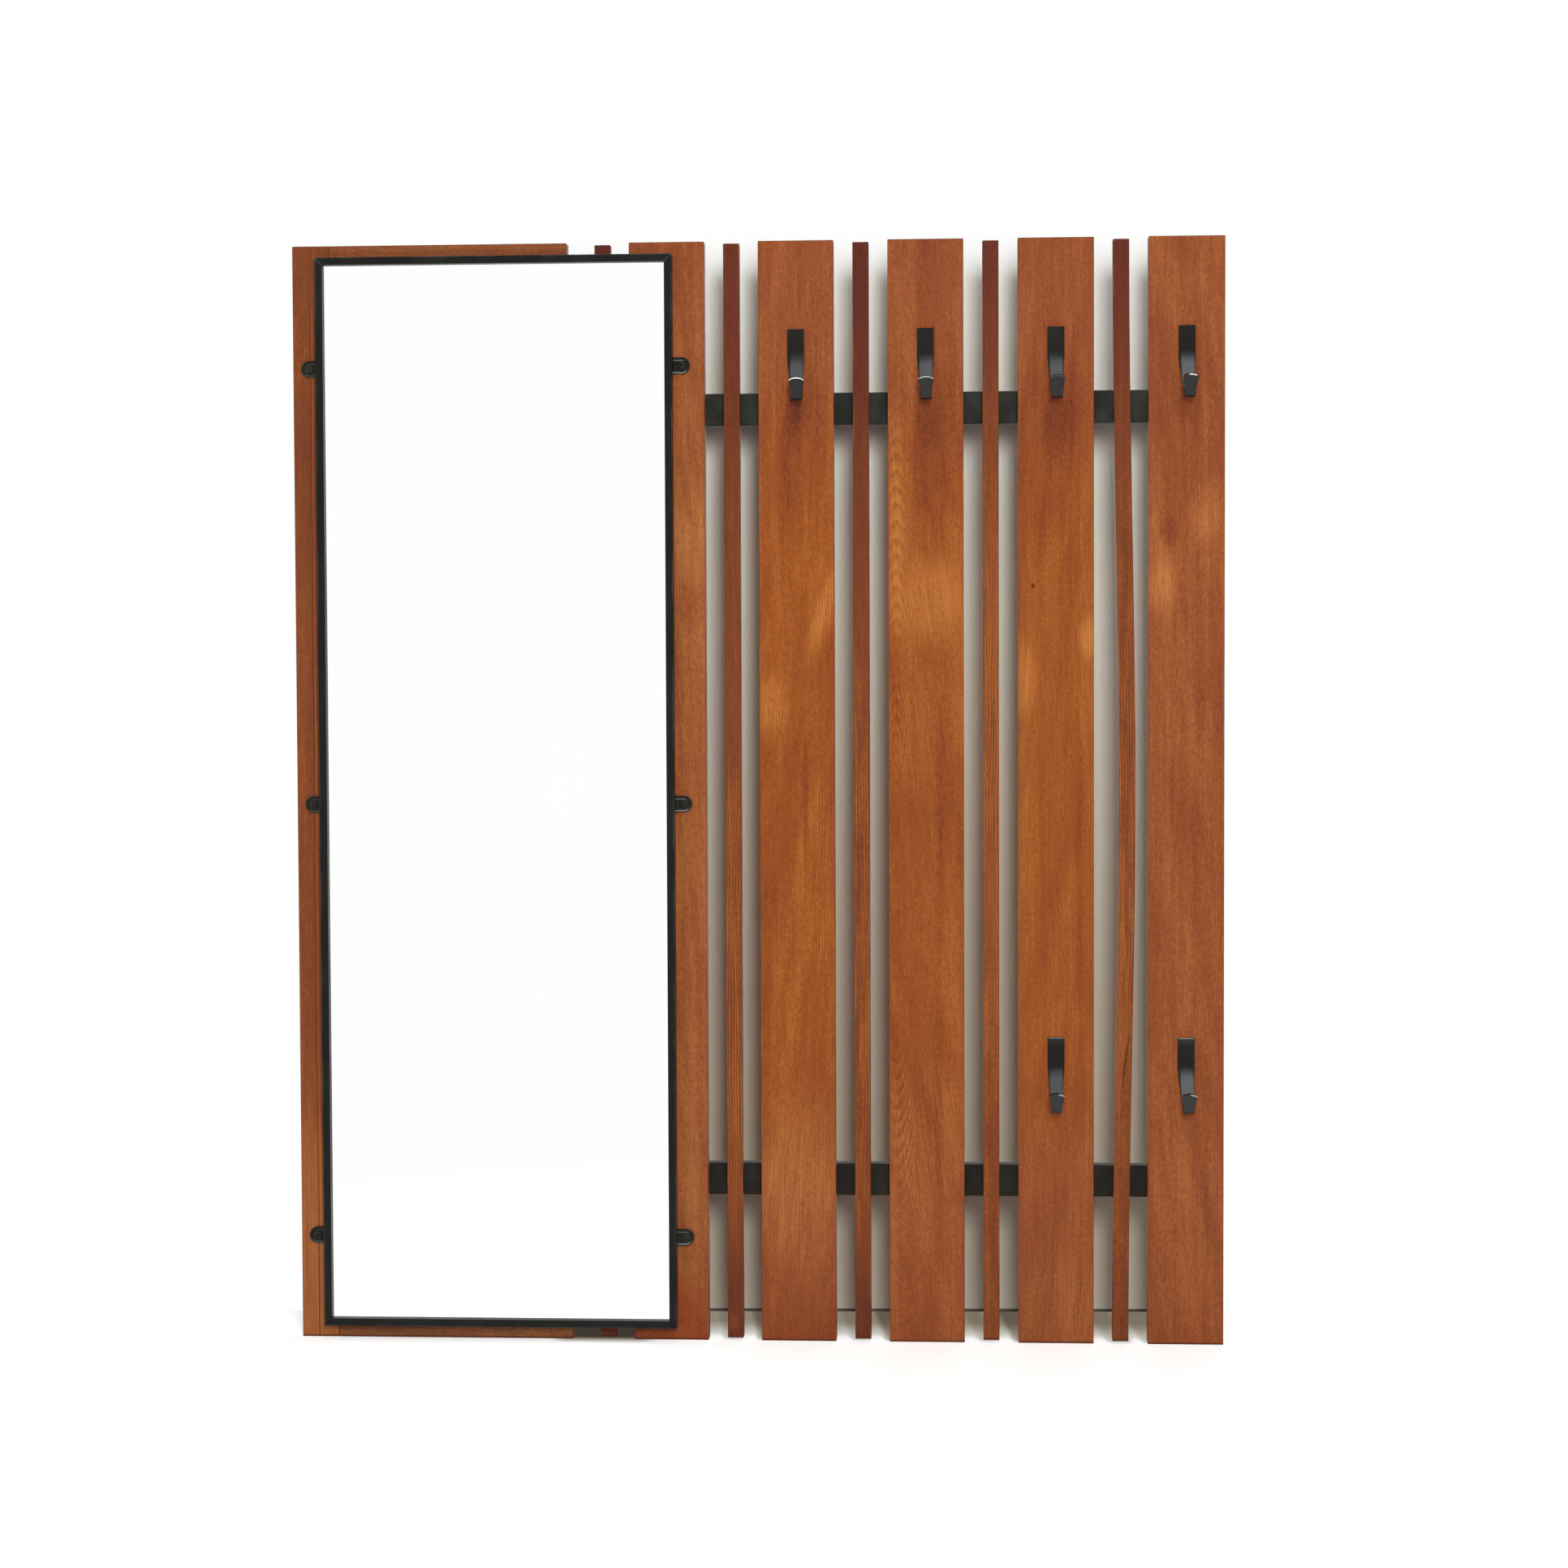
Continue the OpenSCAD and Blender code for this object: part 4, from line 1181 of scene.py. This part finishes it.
class RACK_OT_lugs(bpy.types.Operator):
    """Make the six rimmed lugs that hold the mirror, and their black screws"""
    bl_idname = "coat_rack.lugs"
    bl_label = "Mirror Lugs"

    def execute(self, context):
        colour = context.scene.rack_steel.colour
        screws = solids("lug_screws")[0]
        for k, (node, shine) in enumerate(LUG_SHINE.items()):
            middle = middle_of(node)
            middle.x = min(screws, key=lambda place: (place - middle).length).x
            finish = black_paint("Black " + node, tinted(colour, (1.25, 1.5, 1.4)), middle,
                                 12.0 + 3.7 * k, 0.30,
                                 self.rubs_and_highlights(-1.0 if "left" in node else 1.0, shine))
            rounded("plate_" + node, node, context.scene.rack_mirror.lug_softness, 3,
                    "black_paint", finish)
        driven("lug_screws", context.scene.rack_fixing, -1, 0.5, 1.3,
               black_paint("Black screw", tinted(colour, 2.6), seed=31.0, roughness=0.33),
               "black_screws")
        return {"FINISHED"}

    def rubs_and_highlights(self, side, shine):
        """Painted highlights for black_paint: along the lower rim and round the upper side of the
        screw.
        """
        def wear_and_highlights(f, cloud):
            past = f.most(f.x * side, 0.0)
            out = (f.span(past, f.z) + (cloud - 0.5) * (1.2 * MM)) * (1 / MM)
            rim = (f.between(out, 5.6, 6.1, 6.7, 7.2) * f.rise(f.z, -1.5 * MM, -4.0 * MM)
                   * f.rise(past, 6.0 * MM, 2.5 * MM))
            above = (f.between(out, 3.9, 4.4, 5.0, 5.6) * f.rise(f.z, 1.0 * MM, 3.0 * MM)
                     * f.rise(past, 3.0 * MM, 1.0 * MM))
            return (rim * 0.8 + above * 0.65) * shine, (rim + above * 0.3) * (shine * 0.20)
        return wear_and_highlights


# ---------------------------------------------------------------- hooks

class WearAndHighlights(NamedTuple):
    """How one hook is scuffed and highlighted in paint, and how it is bent; its lengths are in
    millimetres.

    bare is where its arched edge turns bright, partly paint gone to metal and partly a
    painted highlight: from and to on either side of its middle, and how much. Shank is how far
    down the painted grey sheen of its shank starts and is full, and how grey it is. Lip is how
    grey the lip is, crown is the painted highlight on its top edge, and lean is how far its lip
    stands aside."""

    bare: tuple
    shank: tuple
    lip: float
    crown: float
    lean: float


HOOK_WEAR_AND_HIGHLIGHTS = {
    "hook_1": WearAndHighlights((-8.0, 8.0, 1.0), (20.0, 40.0, 0.68), 0.145, 0.0, 2.1),
    "hook_2": WearAndHighlights((-6.5, 6.5, 0.60), (23.0, 38.0, 0.72), 0.20, 0.0, 0.8),
    "hook_3": WearAndHighlights((-8.0, 8.0, 0.06), (23.0, 38.0, 0.68), 0.20, 0.0, 0.6),
    "hook_4": WearAndHighlights((-1.5, 5.0, 0.90), (23.0, 38.0, 0.98), 0.20, 0.0, 1.2),
    "hook_5": WearAndHighlights((1.5, 8.0, 0.45), (26.0, 40.0, 0.62), 0.29, 0.5, 0.0),
    "hook_6": WearAndHighlights((1.0, 8.0, 0.45), (26.0, 40.0, 0.98), 0.31, 0.75, 1.2),
}


class RACK_OT_hooks(bpy.types.Operator):
    """Bend the six strip hooks, with their studs, washers and nuts"""
    bl_idname = "coat_rack.hooks"
    bl_label = "Hooks"

    def execute(self, context):
        size, fixing = context.scene.rack_hook, context.scene.rack_fixing
        colour = tinted(context.scene.rack_steel.colour, 0.85)
        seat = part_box("board_2")[0].y
        for k, (node, wear_and_highlights) in enumerate(HOOK_WEAR_AND_HIGHLIGHTS.items()):
            low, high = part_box(node)
            top = Vector(((low.x + high.x) / 2, seat, high.z))
            strip = softened(bent_strip(top, size, wear_and_highlights.lean * MM), size.softness, 3, 50.0)
            hook = joined("strip_" + node, strip, self.studs(size, fixing, top, high.y))
            finished(hook, "black_paint", node, black_paint(
                "Black " + node, colour, top, 50.0 + 5.3 * k, 0.32, self.rubs_and_highlights(wear_and_highlights, k, size)))
        zinc = zinc_steel("Zinc nut", 5.0)
        self.washers(size, zinc)
        self.nuts(size, zinc)
        return {"FINISHED"}

    def rubs_and_highlights(self, wear_and_highlights, k, size):
        """For black_paint: a painted grey sheen on the shank, a greyer lip, the lip's edge partly
        scuffed to metal and partly a painted highlight, and a painted highlight on the crown.
        """
        start, end, gone = wear_and_highlights.bare
        starts, full, grey_shank = wear_and_highlights.shank
        lean = hook_path(size)[0][-1][2]
        half = size.strip / 2

        def sheen_and_wear(f, cloud):
            # the shank's grey is a painted sheen
            shank = (f.rise(f.z + (cloud - 0.5) * 0.010, -starts * MM, -full * MM)
                     * f.rise(f.y, 3 * MM - size.bend_out, 6 * MM - size.bend_out)
                     * f.rise(abs(f.x - 0.6 * wear_and_highlights.lean * MM), size.waist * 0.70,
                              size.waist * 0.50))
            # how deep in the lip a point lies: out from its middle, and back from its end
            aside = f.x - wear_and_highlights.lean * MM
            out, down = -1.0 * f.y - size.reach, -1.0 * f.z - (size.height - size.lip)
            drop = aside * aside * (size.arch / (size.tip / 2) ** 2)
            front = out * math.cos(lean) + down * math.sin(lean)
            back = down * math.cos(lean) - out * math.sin(lean) - drop * (1 / math.cos(lean))
            lip = (f.rise(front, half - 1.1 * MM, half - 0.4 * MM)
                   * f.rise(f.y, -1 * MM - size.bend_out, -4 * MM - size.bend_out))
            fleck = f.swing(420.0, 3.0 + k) * (1.2 * MM)
            # the arched edge: partly paint scuffed to metal, partly a painted highlight
            edge = (f.rise(back + fleck, 0.9 * MM, 0.4 * MM)
                    * f.rise(front + fleck, half - 1.4 * MM, half - 0.9 * MM)
                    * f.rise(out, -4.0 * MM, -2.0 * MM)
                    * f.between(aside * (1 / MM), start - 1.0, start + 1.0, end - 1.0, end + 1.0))
            # the crown and the band under it are a painted highlight on the top edge
            crown = (f.rise(f.z, -1.3 * MM, -0.7 * MM)
                     * f.rise(abs(f.x), size.width * 0.47, size.width * 0.41))
            band = f.rise(f.z, -7.0 * MM, -4.5 * MM) * 0.18
            grey = shank * grey_shank + lip * wear_and_highlights.lip + (crown + band) * wear_and_highlights.crown
            return grey, edge * gone + crown * (0.16 * wear_and_highlights.crown)
        return sheen_and_wear

    def studs(self, size, fixing, top, end):
        radius = size.stud / 2
        start = top.y - size.strip / 2
        long = end - start
        rows = int(6 * long / fixing.fine_pitch)
        profile = [(0.0, 0.0), (radius, 0.0)]
        profile += [(radius, long * k / rows) for k in range(1, rows - 2)]
        profile += [(radius * 0.8, long), (0.0, long)]
        winding = threaded(fixing.fine_pitch, 0.38 * MM, size.strip, long - 0.6 * MM)
        places = [(top.x, start, top.z - size.stud_inset - k * size.stud_span) for k in range(2)]
        return copied("studs", shown_bmesh("stud template", turned(profile, 20, winding)),
                      places, [(-QUARTER, 0.0, 0.0)] * 2)

    def washers(self, size, finish):
        middles, sizes = solids("hook_washers")
        outer, thick = sizes[0].x / 2, sizes[0].y / 2
        bore, soft = size.stud / 2 + 0.15 * MM, 0.15 * MM
        ring = [(bore, -thick), (outer - soft, -thick), (outer, soft - thick),
                (outer, thick - soft), (outer - soft, thick), (bore + soft, thick),
                (bore, thick - soft)]
        washer = shown_bmesh("washer template", turned(ring, 40, ring=True))
        scattered("hook_washers", washer, middles, [(QUARTER, 0.0, 0.0)] * len(middles),
                  finish, "zinc_steel")

    def nuts(self, size, finish):
        middles, sizes = solids("hook_nuts")
        flats, thick = min(sizes[0].x, sizes[0].z) / 2, sizes[0].y / 2
        bore, soft = size.stud / 2 + 0.15 * MM, 0.3 * MM

        def hexagon(r, z, angle):
            if r < flats * 0.98:
                return r, z
            sixth = TURN / 6
            corner = flats / math.cos((angle + sixth / 2) % sixth - sixth / 2)
            return corner, math.copysign(abs(z) - (corner - flats * 0.96) * 0.6, z)
        ring = [(bore, soft - thick), (bore + soft, -thick), (flats * 0.96, -thick),
                (flats, -thick), (flats, thick), (flats * 0.96, thick), (bore + soft, thick),
                (bore, thick - soft)]
        nut = shown_bmesh("nut template", turned(ring, 48, hexagon, ring=True))
        spins = [(QUARTER, 0.35 * k, 0.0) for k in range(len(middles))]
        scattered("hook_nuts", nut, middles, spins, finish, "zinc_steel")


def joined(name, *objects):
    """One object of several; their materials are set afterwards."""
    bm = bmesh.new()
    for obj in objects:
        bm.from_mesh(obj.data)
    mesh = bpy.data.meshes.new(name)
    bm.to_mesh(mesh)
    bm.free()
    thrown_away(*objects)
    return shown(name, mesh)


def hook_path(size):
    """The strip's middle line as (out, down, lean) from its top, and where its lip starts."""
    r = size.strip / 2
    knee, bend = size.knee_radius + r, size.bend_radius + r
    knee_c = Vector((size.strip + size.knee_radius, size.flat))
    bend_c = Vector((size.bend_out, size.height - size.strip - size.bend_radius))
    tip = Vector((size.reach, size.height - size.lip))
    shank, lip = bend_c - knee_c, tip - bend_c
    knee_end = math.atan2(shank.y, shank.x) + math.acos((knee - bend) / shank.length)
    bend_end = math.atan2(lip.y, lip.x) + math.acos(bend / lip.length)

    def arc(centre, radius, start, end, steps):
        for k in range(steps + 1):
            lean = start + (end - start) * k / steps
            yield (*(centre + radius * Vector((math.cos(lean), math.sin(lean)))), lean)

    def straight(first, last, steps):
        for k in range(1, steps + 1):
            out, down = [a + (b - a) * k / steps for a, b in zip(first[:2], last[:2])]
            yield out, down, last[2]
    path = [(r, size.flat * k / 6, math.pi) for k in range(6)]
    path += arc(knee_c, knee, math.pi, knee_end, 8)
    bow = list(arc(bend_c, bend, knee_end, bend_end, 28))
    path += [*straight(path[-1], bow[0], 8)][:-1] + bow
    lip_start = len(path) - 1
    path += straight(path[-1], (*tip, bend_end), 8)
    return path, lip_start


def part_way(value, start, end):
    """How far a value is on its way from start to end, from 0 to 1."""
    return min(1.0, max(0.0, (value - start) / (end - start)))


def bent_strip(top, size, lean):
    """A flat strip along the hook's path: narrow at the bend, wider at its arched tip.

    Its shank runs a little aside, so that its lip stands the given distance to the right."""
    path, lip_start = hook_path(size)
    waist_down = size.height - size.strip - size.bend_radius
    tip_down = size.height - size.lip
    last = len(path) - 1
    columns = 10
    bm = bmesh.new()
    grids = ([], [])
    for row, (out, down, tilt) in enumerate(path):
        if out < size.bend_out:
            t = part_way(down, size.flat, waist_down)
            width, middle = size.width + (size.waist - size.width) * t, top.x + lean * t
        else:
            t = part_way(down, waist_down, tip_down)
            width, middle = size.waist + (size.tip - size.waist) * t, top.x + lean
        share = part_way(row, lip_start, last)
        for grid, side in zip(grids, (1.0, -1.0)):
            line = []
            for k in range(columns + 1):
                x = width * (k / columns - 0.5)
                drop = share * size.arch * (2 * x / size.tip) ** 2
                o = out + side * size.strip / 2 * math.cos(tilt) - drop * math.tan(tilt)
                d = down + side * size.strip / 2 * math.sin(tilt) + drop
                line.append(bm.verts.new((middle + x, top.y - o, top.z - d)))
            grid.append(line)
    under, over = grids
    for row in range(last):
        for k in range(columns):
            for grid in grids:
                bm.faces.new([*grid[row][k:k + 2], grid[row + 1][k + 1], grid[row + 1][k]])
        for k in (0, columns):
            bm.faces.new([under[row][k], under[row + 1][k], over[row + 1][k], over[row][k]])
    for row in (0, last):
        for k in range(columns):
            bm.faces.new([*under[row][k:k + 2], over[row][k + 1], over[row][k]])
    return shown_bmesh("hook strip", bm)


# ---------------------------------------------------------------- stage

# the photograph's camera, in metres and radians, and its lens and sensor, in millimetres
EYE = Vector((0.18519, -2.74607, 0.12154))
YAW, PITCH, ROLL = -0.058708, -0.038454, -0.003817
LENS, SENSOR = 67.08, 36.0
WHITE = (1.0, 1.0, 1.0)
REACH = 9.0  # of the floor and the wall, to each side
WALL_TURN = 0.0335  # how much farther back the wall is, per metre to the right
WALL_SPREAD = 1.05  # how much wider the rack lies on the wall, seen by the camera
FOOT_SLANT = 0.12  # how far the feet's shade slides to the left, per metre backwards
# the floor's painted shade: its depths and the colour at each of them
SHADE_DEPTHS = (0.0, 0.42, 0.68, 0.90, 1.0)
SHADE_COLOURS = ((0.79, 0.765, 0.75), (0.48, 0.465, 0.41), (0.30, 0.265, 0.20),
                 (0.125, 0.095, 0.07), (0.05, 0.042, 0.030))


class RACK_OT_stage(bpy.types.Operator):
    """Set up the floor, the wall, the lamps, the room's light and the camera"""
    bl_idname = "coat_rack.stage"
    bl_label = "Stage"

    def execute(self, context):
        look = context.scene.rack_stage
        low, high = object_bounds()
        context.scene.view_settings.view_transform = "Standard"
        self.floor(low, high)
        self.wall(look, low, high)
        self.world(context, look)
        self.lamp("Key lamp", (0.40, -2.75, 0.62), (0.36, 0.70), look.key, mirrored=False)
        self.lamp("Top lamp", (0.25, -1.70, 2.10), (0.9, 0.9), look.top)
        self.lamp("Left lamp", (-2.60, -1.60, 0.40), (1.4, 1.4), look.fill)
        self.lamp("Back lamp", (0.70, 2.60, 1.50), (1.6, 1.6), look.back)
        self.camera(context)
        return {"FINISHED"}

    def plane(self, name, corners, material):
        mesh = bpy.data.meshes.new(name)
        mesh.from_pydata(corners, [], [tuple(range(len(corners)))])
        mesh.materials.append(material)
        shown(name, mesh)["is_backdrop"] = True

    def floor(self, low, high):
        """A pale floor with the rack's shadow; its deep shade near the rack is painted."""
        f = Finish("Pale floor")
        # behind the rack, under the mirror and at the left of each upright's foot
        shade = f.rise(f.y, -0.035, 0.06) * f.between(
            f.x, low.x - 0.02, low.x + 0.10, high.x - 0.012, high.x + 0.004) * 0.72
        rail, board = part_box("panel_rail_bottom")[1].x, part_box("board_1")[0].x
        shade = f.most(shade, f.rise(f.y, -0.050, -0.019) * f.between(
            f.x, rail - 0.03, rail - 0.002, board + 0.002, board + 0.03))
        slid = f.x + (f.y + 0.047) * FOOT_SLANT
        for node in BOARDS[1:] + BATTENS[1:]:
            left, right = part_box(node)[0].x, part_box(node)[1].x
            beside = (f.between(slid, left - 0.005, left + 0.004, right - 0.004, right + 0.004)
                      * f.rise(f.y, -0.036, -0.015) * (0.62 if node in BOARDS[:4] else 0.3))
            shade = shade + beside * (1.0 - shade)
        shade = shade * f.rise(f.y, 0.30, 0.14)
        diffuse = f.node("ShaderNodeBsdfDiffuse", {"Color": (0.80, 0.80, 0.79, 1.0)})
        near = f.node("ShaderNodeAddShader", {0: diffuse, 1: f.glow((0.53, 0.53, 0.53))})
        painted = f.glow(f.ramp(shade, SHADE_DEPTHS, SHADE_COLOURS))
        near = f.mixed(f.rise(shade, 0.0, 0.25), near, painted)
        lit = f.mixed(f.rise(f.span(f.x, f.y), 0.55, 1.1), near, f.glow(WHITE))
        both = f.mixed(f.watched(), diffuse, lit)
        below = f.node("ShaderNodeNewGeometry", out="Backfacing")
        surface = f.mixed(below, both, f.node("ShaderNodeBsdfTransparent"))
        self.plane("Floor", [(x * REACH, y * REACH, low.z) for x, y in
                             ((-1, -1), (1, -1), (1, 1), (-1, 1))], f.close(surface))

    def wall(self, look, low, high):
        """A pale wall that only the camera sees, and only from the front."""
        f = Finish("Pale wall")
        # painted light and shade: the wall is paler near the top and darker and browner low down
        fade = f.rise(f.z, high.z - 0.02, high.z - 0.26)
        colour = f.blend(fade, (0.89, 0.905, 0.835), look.wall_colour)
        colour = f.blend(f.rise(f.z, 0.45, -0.25), colour,
                         tinted(look.wall_colour, (0.69, 0.60, 0.54)))
        # the soft brown shade that each board throws to its left, and the upper tube's
        tall = f.rise(f.z, -0.55, 0.15)
        for node in BOARDS[1:]:
            edge = EYE.x + (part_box(node)[0].x - EYE.x) * WALL_SPREAD
            shade = f.between(f.x, edge - 0.016, edge, edge + 0.012, edge + 0.022)
            colour = f.blend(shade * tall * 0.27, colour, (0.25, 0.19, 0.12))
        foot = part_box("tube_upper")[0].z
        shade = f.between(f.z, foot - 0.019, foot + 0.009, foot + 0.018, foot + 0.026)
        colour = f.blend(shade * 0.60, colour, (0.10, 0.11, 0.10))
        # painted shade: a thin dark line in the corner where the wall meets the floor
        corner_shade = f.rise(f.z, low.z + 3.6 * MM, low.z + 2.2 * MM)
        colour = f.blend(corner_shade * 0.9, colour, (0.05, 0.05, 0.045))
        inside = (f.between(f.x, low.x + 0.12, low.x + 0.36, high.x - 0.062, high.x + 0.008)
                  * f.rise(f.z, high.z + 0.03, high.z - 0.03))
        lit = f.mixed(inside, f.glow(WHITE), f.node("ShaderNodeBsdfDiffuse", {"Color": colour}))
        seen = f.node("ShaderNodeLightPath", out="Is Camera Ray") \
            * (1.0 - f.node("ShaderNodeNewGeometry", out="Backfacing"))
        surface = f.mixed(seen, f.node("ShaderNodeBsdfTransparent"), lit)
        corners = [(x * REACH, look.wall_gap + x * REACH * WALL_TURN, low.z + z * REACH)
                   for x, z in ((-1, 0), (1, 0), (1, 1), (-1, 1))]
        self.plane("Wall", corners, f.close(surface))

    def world(self, context, look):
        world = bpy.data.worlds.new("Studio")
        context.scene.world = world
        world.use_nodes = True
        graph = Graph(world.node_tree)
        graph.tree.nodes.clear()
        strength = look.ambience + graph.watched() * (1.0 - look.ambience)
        graph.node("ShaderNodeOutputWorld", {"Surface": graph.node(
            "ShaderNodeBackground", {"Color": (*WHITE, 1.0), "Strength": strength})})

    def lamp(self, name, place, size, power, mirrored=True):
        data = bpy.data.lights.new(name, "AREA")
        data.shape = "RECTANGLE"
        data.size, data.size_y = size
        data.energy = power
        lamp = bpy.data.objects.new(name, data)
        lamp.location = place
        lamp.visible_glossy = mirrored
        lamp.rotation_euler = (-lamp.location).to_track_quat("-Z", "Y").to_euler()
        bpy.context.scene.collection.objects.link(lamp)

    def camera(self, context):
        """The camera stands where the photograph's perspective puts it."""
        ahead = Vector((math.sin(YAW) * math.cos(PITCH), math.cos(YAW) * math.cos(PITCH),
                        math.sin(PITCH)))
        level = Vector((math.cos(YAW), -math.sin(YAW), 0.0))
        right = level * math.cos(ROLL) + level.cross(ahead) * math.sin(ROLL)
        turn = Matrix((right, right.cross(ahead), -ahead)).transposed()
        data = bpy.data.cameras.new("Photo camera")
        data.sensor_width = SENSOR
        data.lens = LENS
        data.clip_end = 40.0
        camera = bpy.data.objects.new("Photo camera", data)
        camera.matrix_world = Matrix.Translation(EYE) @ turn.to_4x4()
        context.scene.collection.objects.link(camera)
        context.scene.camera = camera


class RACK_PT_panel(bpy.types.Panel):
    """The rack's sizes, colours and pieces in the sidebar"""
    bl_idname = "RACK_PT_panel"
    bl_label = "Mirror Coat Rack"
    bl_space_type = "VIEW_3D"
    bl_region_type = "UI"
    bl_category = "Coat Rack"

    def draw(self, context):
        for step in STEPS:
            self.layout.operator(step.bl_idname)
        for name, group in GROUPS.items():
            box = self.layout.box()
            box.label(text=group.__doc__)
            for key in group.__annotations__:
                box.prop(getattr(context.scene, name), key)


STEPS = (RACK_OT_boards, RACK_OT_battens, RACK_OT_panel, RACK_OT_tubes, RACK_OT_screws,
         RACK_OT_mirror, RACK_OT_lugs, RACK_OT_hooks, RACK_OT_stage)
CLASSES = (*GROUPS.values(), *STEPS, RACK_PT_panel)


def register():
    for cls in CLASSES:
        bpy.utils.register_class(cls)
    for name, group in GROUPS.items():
        setattr(bpy.types.Scene, name, PointerProperty(type=group))


def unregister():
    for name in GROUPS:
        delattr(bpy.types.Scene, name)
    for cls in reversed(CLASSES):
        bpy.utils.unregister_class(cls)


def main():
    register()
    bpy.ops.coat_rack.boards()
    bpy.ops.coat_rack.battens()
    bpy.ops.coat_rack.panel()
    bpy.ops.coat_rack.tubes()
    bpy.ops.coat_rack.screws()
    bpy.ops.coat_rack.mirror()
    bpy.ops.coat_rack.lugs()
    bpy.ops.coat_rack.hooks()
    bpy.ops.coat_rack.stage()


if __name__ == "__main__":
    main()
